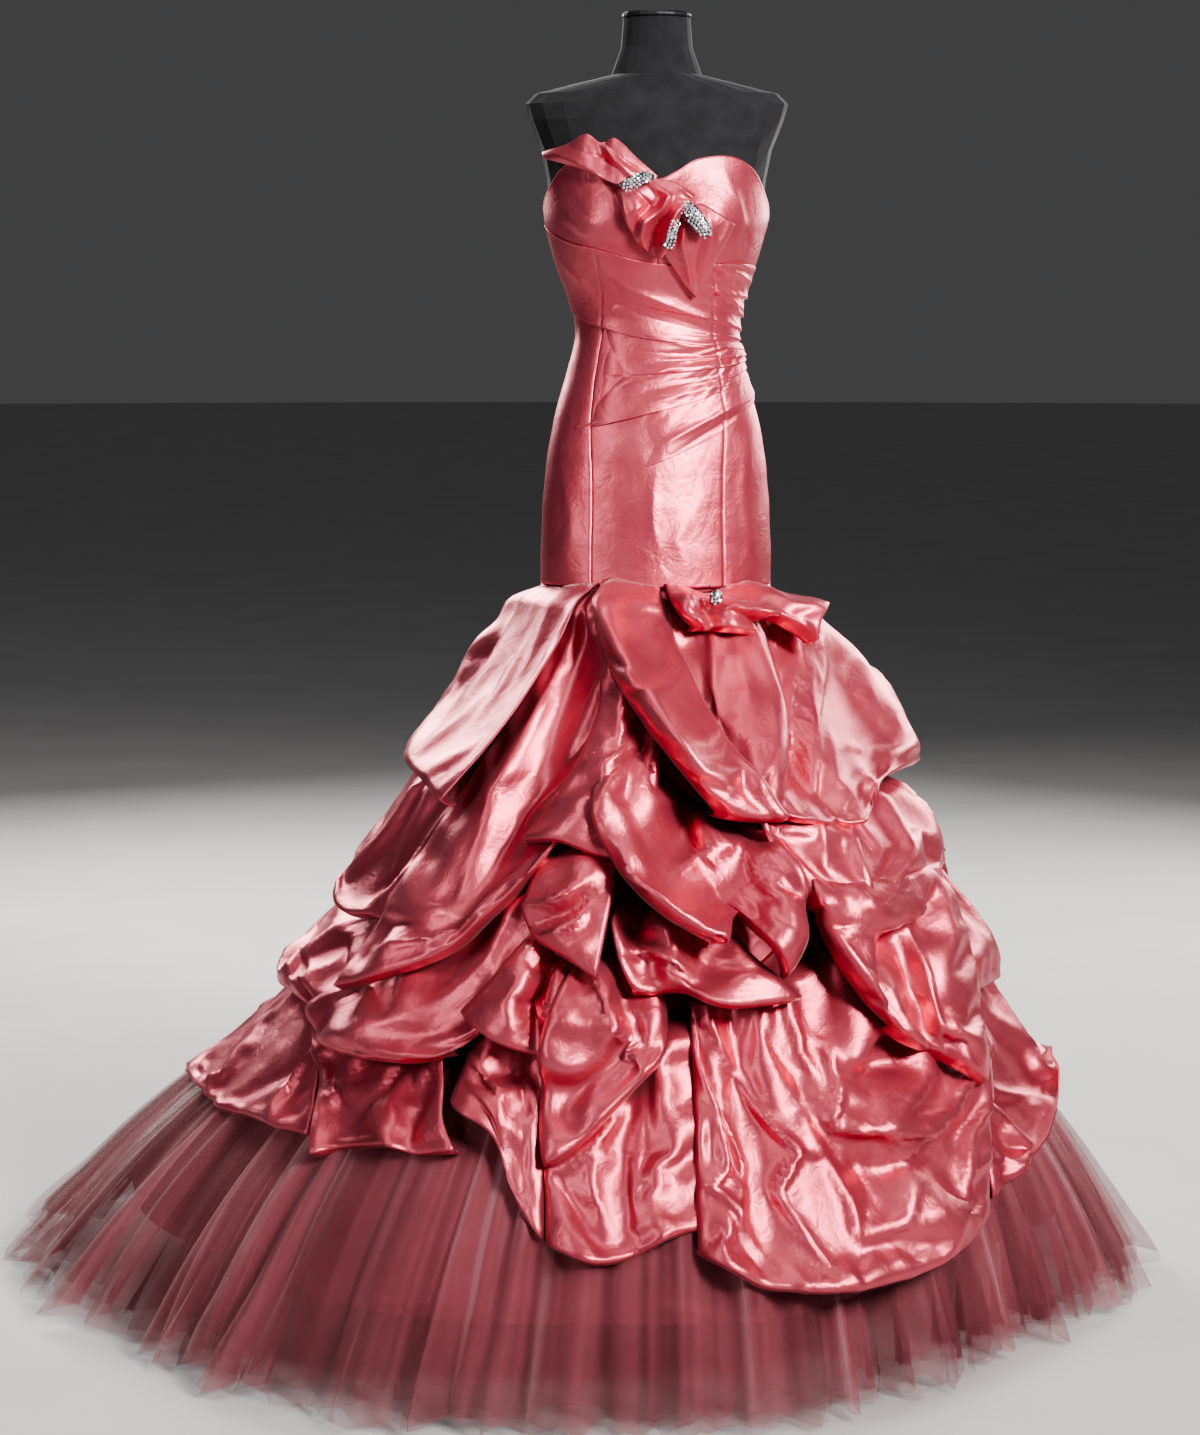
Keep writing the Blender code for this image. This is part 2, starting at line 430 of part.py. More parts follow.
class Workshop:
    """Makes the objects, and remembers what is laid so that the next cloth can lie on it."""

    SAMPLES = [(a / 8, b / 8, (8 - a - b) / 8) for a in range(9) for b in range(9 - a)]
    REACH = 0.6
    PUSHES = 60
    PUSH_STEP = 0.0006

    def __init__(self, name):
        self.collection = new_collection(name)
        self.materials = {material: new_material(material) for material in MATERIALS}
        self.points = []
        self.faces = []
        self.tree = None

    def add(self, name, points, faces, material, smooth=True):
        mesh = bpy.data.meshes.new(name)
        mesh.from_pydata([tuple(p) for p in points], [], faces)
        mesh.update()
        made = bpy.data.objects.new(name, mesh)
        self.collection.objects.link(made)
        made.data.materials.append(self.materials[material])
        if smooth:
            mesh.shade_smooth()
        return made

    def take(self, made, name, material):
        """Adopt a primitive that an operator has just made."""
        made.name = made.data.name = name
        for old in list(made.users_collection):
            old.objects.unlink(made)
        self.collection.objects.link(made)
        made.data.materials.append(self.materials[material])
        made.data.shade_smooth()
        made.data.set_sharp_from_angle(angle=math.radians(40))
        return made

    def solid(self, made):
        """Points and faces of an object with its modifiers."""
        bpy.context.view_layer.update()
        evaluated = made.evaluated_get(bpy.context.evaluated_depsgraph_get())
        mesh = evaluated.to_mesh()
        points = [made.matrix_world @ v.co for v in mesh.vertices]
        faces = [list(face.vertices) for face in mesh.polygons]
        evaluated.to_mesh_clear()
        return points, faces

    def lay(self, made):
        """Count an object among what later cloth lies on."""
        points, faces = self.solid(made)
        start = len(self.points)
        self.points += points
        self.faces += [[start + i for i in face] for face in faces]
        self.tree = BVHTree.FromPolygons(self.points, self.faces)

    def clearance(self, point, outward):
        """How far a point stands out of the outermost cloth under it."""
        hit = self.tree.ray_cast(point + outward * self.REACH, -outward, 2 * self.REACH)
        return hit[3] - self.REACH if hit[0] is not None else self.REACH

    def raise_clear(self, cloth, gap):
        """Lift a cloth's points until every face is clear of what it covers."""
        for _ in range(3):
            places = cloth.places()
            lift = [0.0] * len(places)
            for face in cloth.faces:
                corners = [places[i] for i in face]
                outs = [cloth.outs[i] for i in face]
                for weights in self.SAMPLES:
                    point = sum((c * w for c, w in zip(corners, weights)), Vector())
                    out = sum((o * w for o, w in zip(outs, weights)), Vector()).normalized()
                    short = gap - self.clearance(point, out)
                    if short > 0:
                        for i in face:
                            lift[i] = max(lift[i], short)
            if max(lift) < 1e-5:
                break
            cloth.rises = [r + l for r, l in zip(cloth.rises, lift)]

    def seat(self, cloth, corners, gap=SEAT_GAP):
        """Lower some of a cloth's points, one after the other, down to what lies under them."""
        for corner in corners:
            around = [face for face in cloth.faces if corner in face]
            places = cloth.places()
            room = self.REACH
            for face in around:
                corners = [places[i] for i in face]
                outs = [cloth.outs[i] for i in face]
                which = list(face).index(corner)
                for weights in self.SAMPLES:
                    if weights[which] == 0:
                        continue
                    point = sum((c * w for c, w in zip(corners, weights)), Vector())
                    out = sum((o * w for o, w in zip(outs, weights)), Vector()).normalized()
                    room = min(room, (self.clearance(point, out) - gap) / weights[which])
            cloth.rises[corner] -= max(room, 0.0)

    def cloth_object(self, name, cloth, material, wall):
        """Thicken a cloth outwards into its solid, push it clear of edges, and lay it."""
        made = self.add(name, cloth.places(), cloth.faces, material)
        thick = made.modifiers.new("Wall", "SOLIDIFY")
        thick.thickness = wall
        thick.offset = 1
        pushed = set()
        for _ in range(self.PUSHES):
            points, faces = self.solid(made)
            crossings = BVHTree.FromPolygons(points, faces).overlap(self.tree)
            if not crossings:
                break
            hit = {corner % len(cloth.rises) for own, _ in crossings for corner in faces[own]}
            pushed |= hit
            self.push(made, cloth, hit)
        self.push(made, cloth, pushed)
        self.lay(made)
        return made

    def push(self, made, cloth, corners):
        """Raise some of a cloth's points by one small step."""
        for corner in corners:
            cloth.rises[corner] += self.PUSH_STEP
        for vertex, place in zip(made.data.vertices, cloth.places()):
            vertex.co = place
        made.data.update()


class Cloth:
    """A net of points, row by row from the top, each with its base, its way out and its rise."""

    def __init__(self, rows, closed=False):
        self.columns = len(rows[0])
        spots = [spot for row in rows for spot in row]
        self.bases = [spot[0] for spot in spots]
        self.outs = [spot[1] for spot in spots]
        self.rises = [spot[2] for spot in spots]
        self.faces = []
        last = self.columns if closed else self.columns - 1
        for i in range(len(rows) - 1):
            for j in range(last):
                k = (j + 1) % self.columns
                a, b = i * self.columns + j, i * self.columns + k
                c, d = a + self.columns, b + self.columns
                self.faces += [(a, c, d), (a, d, b)] if (i + j) % 2 else [(a, c, b), (b, c, d)]

    def row(self, number):
        return range(number * self.columns, (number + 1) * self.columns)

    def places(self):
        return [base + out * rise for base, out, rise in zip(self.bases, self.outs, self.rises)]


# ---------------------------------------------------------------- folds
def fold_place(fold, t):
    """Place down one fold's line, as a parabola through its three spots."""
    top, middle, foot = fold[0:3], fold[3:6], fold[6:9]
    return [a * (1 - t) * (1 - 2 * t) + b * 4 * t * (1 - t) + c * t * (2 * t - 1)
            for a, b, c in zip(top, middle, foot)]


def across(folds, s, t):
    """Place on the panel between its folds, s across and t down, both from 0 to 1."""
    lines = [[k] + fold_place(fold, t) for k, fold in enumerate(folds)]
    at = s * (len(folds) - 1)
    return [value(lines, column, at) for column in (1, 2, 3)]


def spread(count):
    return [i / (count - 1) for i in range(count)]


def satin_rows(folds, columns, rows):
    """Net of an overskirt panel, with its bubble hem turned under."""
    net = []
    for t in spread(rows):
        line = [across(folds, s, t) for s in spread(columns)]
        net.append([skirt_spot(a, h, SATIN_RISE + rise) for a, h, rise in line])
    foot = [across(folds, s, 1.0) for s in spread(columns)]
    net.append([skirt_spot(a, h - HEM_TURN_DROP, SATIN_RISE + max(rise - HEM_TURN_IN, -0.004))
                for a, h, rise in foot])
    return net


def swag_folds(first, last, top, foot_end, foot_middle, belly, lean):
    """Folds of a swag behind, caught up at both ends."""
    folds = []
    for part, share in zip(spread(len(SWAG_DEPTHS)), SWAG_DEPTHS):
        sag = math.sin(math.pi * part ** lean)
        angle = blend(first, last, part)
        foot = blend(foot_end, foot_middle, sag)
        folds.append((angle, top, 0.01, angle, blend(top, foot, 0.5), belly * share,
                      angle, foot, (belly - 0.01) * share))
    return folds


# ---------------------------------------------------------------- sub-parts
def add_stand(shop):
    bpy.ops.mesh.primitive_cylinder_add(vertices=32, radius=BASE_RADIUS, depth=BASE_HEIGHT,
                                        location=(0, 0, BASE_HEIGHT / 2))
    base = shop.take(bpy.context.object, "stand_base", "gloss_black")
    round_edge = base.modifiers.new("Edge", "BEVEL")
    round_edge.width = 0.004
    round_edge.segments = 1
    pole_foot, pole_top = BASE_HEIGHT + SEAM_GAP, FORM[0][0] - SEAM_GAP
    bpy.ops.mesh.primitive_cylinder_add(vertices=20, radius=POLE_RADIUS, depth=pole_top - pole_foot,
                                        location=(0, 0, (pole_top + pole_foot) / 2))
    shop.take(bpy.context.object, "stand_pole", "steel")


def add_form(shop, columns=24):
    """Torso and neck of the dress form, lofted through its sections, and the cap on the neck."""
    angles = [360 * j / columns for j in range(columns)]
    points = [oval(FORM, angle, row[0])[0] for row in FORM for angle in angles]
    faces = []
    for i in range(len(FORM) - 1):
        for j in range(columns):
            k = (j + 1) % columns
            faces.append((i * columns + j, i * columns + k, (i + 1) * columns + k, (i + 1) * columns + j))
    faces.append(tuple(reversed(range(columns))))
    faces.append(tuple(range((len(FORM) - 1) * columns, len(FORM) * columns)))
    shop.lay(shop.add("form_torso", points, faces, "jersey"))
    bpy.ops.mesh.primitive_cylinder_add(
        vertices=24, radius=NECK_CAP_RADIUS, depth=NECK_CAP_HEIGHT,
        location=(0, 0, FORM[-1][0] + SEAM_GAP + NECK_CAP_HEIGHT / 2))
    cap = shop.take(bpy.context.object, "form_neck_cap", "gloss_black")
    round_edge = cap.modifiers.new("Edge", "BEVEL")
    round_edge.width = 0.0025
    round_edge.segments = 1


def gore_cloth(left, right, low, high, columns, rows, gap=SEAM_GAP):
    """Net between two seams and two lines; left and right are given by height."""
    net = []
    for t in reversed(spread(rows)):
        line = []
        for s in spread(columns):
            height = blend(low(s), high(s), t)
            inset = math.degrees(gap / 2 / value(BODY, 1, height))
            angle = blend(left(height) + inset, right(height) - inset, s)
            line.append(body_spot(angle, height))
        net.append(line)
    return Cloth(net)


def line_between(table, first, last):
    """Height along a line of the table, from one angle to another."""
    return lambda s: value(table, 1, wrapped(blend(first, last, s)))


def add_gores(shop):
    """Gores of the fitted body from the tier seam up, and the two cups above the front ones."""
    def princess(sign, base=0):
        return lambda height: base + sign * value(PRINCESS, 1, height)

    def straight(angle):
        return lambda height: angle

    def floor(s):
        return TIER_SEAM

    def under(first, last):
        line = line_between(UNDER_BUST, first, last)
        return lambda s: line(s) - UNDER_BUST_GAP / 2

    def neck(first, last):
        return line_between(NECKLINE, first, last)

    under_bust_seam = 37      # angle at which the princess seams meet the under-bust seam
    gores = [
        ("gore_front_left_side", straight(-90), princess(-1), under(-90, -under_bust_seam), 6),
        ("gore_front_centre", princess(-1), princess(1), under(-under_bust_seam, under_bust_seam), 9),
        ("gore_front_right_side", princess(1), straight(90), under(under_bust_seam, 90), 6),
        ("gore_back_right_side", straight(90), princess(-1, 180), neck(90, 180 - under_bust_seam), 6),
        ("gore_back_right", princess(-1, 180), straight(180), neck(180 - under_bust_seam, 180), 5),
        ("gore_back_left", straight(180), princess(1, 180), neck(-180, -180 + under_bust_seam), 5),
        ("gore_back_left_side", princess(1, 180), straight(270), neck(-180 + under_bust_seam, -90), 6),
    ]
    for name, left, right, top, columns in gores:
        shop.cloth_object(name, gore_cloth(left, right, floor, top, columns, 12), "satin", SATIN_WALL)
    for name, first, last in (("cup_left", -90, 0), ("cup_right", 0, 90)):
        seam = line_between(UNDER_BUST, first, last)
        cup = gore_cloth(straight(first), straight(last), lambda s: seam(s) + UNDER_BUST_GAP / 2,
                         neck(first, last), 11, 5, CUP_GAP)
        shop.cloth_object(name, cup, "satin", SATIN_WALL)


def add_wraps(shop):
    """Three draped strips across the front, each one's foot standing over the next one's top."""
    overlap = 0.007
    strips = [
        ("wrap_hip", -50, 86, HIGH_HIP_PLEAT, HIP_PLEAT, 10, 3),
        ("wrap_waist", -86, 86, WAIST_PLEAT, HIGH_HIP_PLEAT, 14, 5),
        ("wrap_midriff", -86, 86, UNDER_BUST, WAIST_PLEAT, 14, 5),
    ]
    for name, first, last, top_line, foot_line, columns, rows in strips:
        net = []
        for t in spread(rows):
            line = []
            for s in spread(columns):
                angle = blend(first, last, s)
                height = blend(value(top_line, 1, angle) + overlap, value(foot_line, 1, angle), t)
                line.append(body_spot(angle, height, SATIN_WALL + blend(0.0008, 0.0030, t)))
            net.append(line)
        cloth = Cloth(net)
        shop.raise_clear(cloth, SEAT_GAP)
        shop.cloth_object(name, cloth, "satin", WRAP_WALL)


def add_skirt(shop):
    """Underskirt hung from the tier seam, and the gathered layers of tulle over it."""
    net = []
    for t in spread(UNDERSKIRT_ROWS):
        height = blend(TIER_SEAM - TIER_GAP, UNDERSKIRT_FOOT, t ** 0.9)
        line = []
        for j in range(UNDERSKIRT_COLUMNS):
            angle = 360 * j / UNDERSKIRT_COLUMNS
            own_rise = blend(UNDERSKIRT_TOP_RISE, UNDERSKIRT_FOOT_RISE, t * t)
            base, outward, rise = skirt_spot(angle, height, own_rise)
            if t == 0:
                base, rise = body_spot(angle, height)[0], 0.0
            line.append((base, outward, rise))
        net.append(line)
    shop.cloth_object("underskirt", Cloth(net, closed=True), "satin", SATIN_WALL)

    for name, top, waves, steps, depth, foot_rise, phase in TULLE_LAYERS:
        columns = 2 * waves
        net = []
        for t in spread(steps + 1):
            height = blend(top, 0.0, t)
            line = []
            for j in range(columns):
                angle = 360 * j / columns + phase
                side = 1 if j % 2 else -1
                uneven = 0.75 + 0.25 * math.sin(math.radians(3 * angle + 40 * phase))
                rise = blend(-0.0048, foot_rise, t) + side * depth * uneven * t ** 1.2
                line.append(skirt_spot(angle, height, rise))
            net.append(line)
        cloth = Cloth(net, closed=True)
        shop.raise_clear(cloth, SEAT_GAP)
        shop.seat(cloth, cloth.row(0))
        shop.cloth_object(name, cloth, "tulle", TULLE_WALL)


def add_panel(shop, name, folds, columns, rows):
    cloth = Cloth(satin_rows(folds, columns, rows))
    shop.raise_clear(cloth, LOOSE_GAP)
    shop.seat(cloth, cloth.row(0))
    shop.cloth_object(name, cloth, "satin", SATIN_WALL)


def add_overskirt(shop):
    """Picked-up folds of the overskirt, the inner ones first, and the bow at the hip."""
    for name, first, last, *sizes in BACK_SWAGS:
        add_panel(shop, name, swag_folds(first, last, *sizes), 9, 5)
    for name, folds in {**SATIN_PANELS, **HIP_BOW}.items():
        add_panel(shop, name, folds, 2 * len(folds) - 1, 6)


def bodice_spot(across_place, height, rise):
    """Place on the bodice given by its place across."""
    half = value(BODY, 1, height)
    angle = math.degrees(math.asin(max(-1.0, min(1.0, across_place / half))))
    return body_spot(angle, height, rise)


def add_bust_bow(shop):
    for name, folds in BUST_BOW.items():
        columns = 2 * len(folds) - 1
        net = [[bodice_spot(*across(folds, s, t)) for s in spread(columns)] for t in spread(6)]
        cloth = Cloth(net)
        shop.raise_clear(cloth, LOOSE_GAP)
        foot = cloth.row(len(net) - 1)
        shop.seat(cloth, foot[:2] if name == "bust_bow_knot" else foot[columns // 2:], BOW_SEAT_GAP)
        shop.cloth_object(name, cloth, "satin", SATIN_WALL)


def add_brooches(shop, corners=12, profile=((1.0, 0.0), (1.0, 0.3), (0.8, 0.75), (0.35, 1.0))):
    """Low mounds that carry the rhinestones, set flat on the cloth's foremost point under them."""
    ahead = Vector((0, -1, 0))
    for name, place, height, half_length, half_width, tilt in BROOCHES:
        turn = math.radians(tilt)

        def spot(size, around):
            along, wide = half_length * size * math.cos(around), half_width * size * math.sin(around)
            return Vector((place + along * math.cos(turn) - wide * math.sin(turn), 0,
                           height + along * math.sin(turn) + wide * math.cos(turn)))

        turns = [2 * math.pi * j / corners for j in range(corners)]
        fine = [spot(size, 2 * math.pi * j / 60) for size in spread(14) for j in range(60)]
        floor = min(-shop.clearance(point, ahead) * ahead.y for point in fine) - SEAT_GAP
        points = [spot(size, around) + ahead * (BROOCH_HEIGHT * lift - floor)
                  for size, lift in profile for around in turns]
        faces = [tuple(reversed(range(corners)))]
        for level in range(len(profile) - 1):
            for j in range(corners):
                k = (j + 1) % corners
                low, high = level * corners, (level + 1) * corners
                faces.append((low + j, low + k, high + k, high + j))
        faces.append(tuple(range((len(profile) - 1) * corners, len(profile) * corners)))
        shop.lay(shop.add(name, points, faces, "rhinestone"))


def main():
    remove_everything()
    shop = Workshop("mermaid_gown")
    add_stand(shop)
    add_form(shop)
    add_gores(shop)
    add_wraps(shop)
    add_skirt(shop)
    add_overskirt(shop)
    add_bust_bow(shop)
    add_brooches(shop)


main()
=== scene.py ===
"""Looks of the mermaid gown: satin, tulle, stones and dress form as fine shells on the fixed frame."""
import math

import bpy
import numpy as np
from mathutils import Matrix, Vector, noise
from mathutils.bvhtree import BVHTree


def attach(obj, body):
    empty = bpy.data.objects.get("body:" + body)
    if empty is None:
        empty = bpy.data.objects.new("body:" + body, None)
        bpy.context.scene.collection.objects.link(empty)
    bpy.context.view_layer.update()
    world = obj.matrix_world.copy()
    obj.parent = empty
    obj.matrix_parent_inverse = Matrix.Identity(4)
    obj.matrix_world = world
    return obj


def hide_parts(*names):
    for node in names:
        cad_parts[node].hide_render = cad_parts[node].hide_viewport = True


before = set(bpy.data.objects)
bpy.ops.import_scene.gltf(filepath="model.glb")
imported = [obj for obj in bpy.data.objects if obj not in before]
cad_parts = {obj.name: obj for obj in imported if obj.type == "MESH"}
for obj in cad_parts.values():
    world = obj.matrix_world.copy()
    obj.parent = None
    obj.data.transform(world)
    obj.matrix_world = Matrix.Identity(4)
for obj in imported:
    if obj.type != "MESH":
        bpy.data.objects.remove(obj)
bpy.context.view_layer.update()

# ---------------------------------------------------------------- driving dimensions, in metres
SHELL = 0.0012               # thickness of a satin shell
LAYER_GAP = 0.0030           # between a fold and the cloth it hangs over
SEAT_GAP = 0.0006            # where it is caught down
SATIN_RISE = 0.015           # height of the overskirt's base above the skirt's cone
TIER_SEAM = 1.008            # height of the seam between body and overskirt
TRAIN_HEIGHT = 0.60          # the train's spread begins under this height
TRAIN_POWER = 1.3
ROUND_SKIRT = 0.80           # under this height the skirt is round, above it oval
OVAL_TOP = 1.02
OVAL_FRONT = 0.74            # depth over width at the tier seam, in front and behind
OVAL_BACK = 0.79
REACH = 0.6                  # how far outside the gown the rays start that find its surface

# The fitted body: height, half width, depth in front, depth behind.
BODY = [
    (1.000, 0.1590, 0.1180, 0.1270), (1.066, 0.1580, 0.1160, 0.1300), (1.121, 0.1550, 0.1130, 0.1280),
    (1.177, 0.1500, 0.1100, 0.1220), (1.232, 0.1400, 0.1040, 0.1080), (1.287, 0.1250, 0.0960, 0.0910),
    (1.342, 0.1110, 0.0900, 0.0800), (1.369, 0.1110, 0.0910, 0.0800), (1.397, 0.1170, 0.0980, 0.0840),
    (1.424, 0.1270, 0.1080, 0.0880), (1.451, 0.1370, 0.1220, 0.0910), (1.479, 0.1450, 0.1340, 0.0930),
    (1.506, 0.1520, 0.1400, 0.0940), (1.560, 0.1550, 0.1290, 0.0920), (1.620, 0.1570, 0.1160, 0.0880),
]
# The skirt's cone: height, radius at the front.
CONE = [
    (0.00, 0.655), (0.10, 0.605), (0.20, 0.550), (0.30, 0.490), (0.40, 0.435), (0.50, 0.390),
    (0.60, 0.345), (0.70, 0.300), (0.80, 0.255), (0.90, 0.205), (0.95, 0.175), (1.02, 0.150),
]
# The hem on the floor: angle, radius. It runs out to a train behind and to the left.
HEM = [
    (-180, 0.85), (-150, 0.95), (-118, 1.00), (-88, 0.90), (-66, 0.76), (-44, 0.75), (-20, 0.69),
    (0, 0.655), (13, 0.646), (30, 0.60), (50, 0.557), (64, 0.585), (90, 0.69), (120, 0.74),
    (150, 0.80), (180, 0.85),
]

# Princess seams: height, angle from the front or from the back.
PRINCESS = [(1.00, 34), (1.15, 35), (1.25, 41), (1.34, 43), (1.42, 37), (1.50, 35)]
# Lines across the front: angle, height.
UNDER_BUST = [(-90, 1.495), (-60, 1.471), (-30, 1.454), (-10, 1.441), (10, 1.436), (60, 1.438), (90, 1.432)]
NECKLINE = [
    (-180, 1.440), (-140, 1.450), (-110, 1.482), (-90, 1.518), (-79, 1.532), (-70, 1.546), (-55, 1.573),
    (-38, 1.588), (-19, 1.583), (-8, 1.566), (0, 1.557), (8, 1.566), (19, 1.583), (38, 1.588),
    (55, 1.572), (70, 1.540), (79, 1.522), (90, 1.505), (110, 1.474), (140, 1.449), (180, 1.440),
]
WAIST_PLEAT = [(-90, 1.384), (-48, 1.364), (-17, 1.348), (15, 1.339), (51, 1.332), (90, 1.328)]
HIGH_HIP_PLEAT = [(-90, 1.214), (-45, 1.222), (15, 1.256), (50, 1.278), (90, 1.290)]
HIP_PLEAT = [(-60, 1.172), (-30, 1.166), (-10, 1.169), (18, 1.198), (55, 1.240), (90, 1.268)]

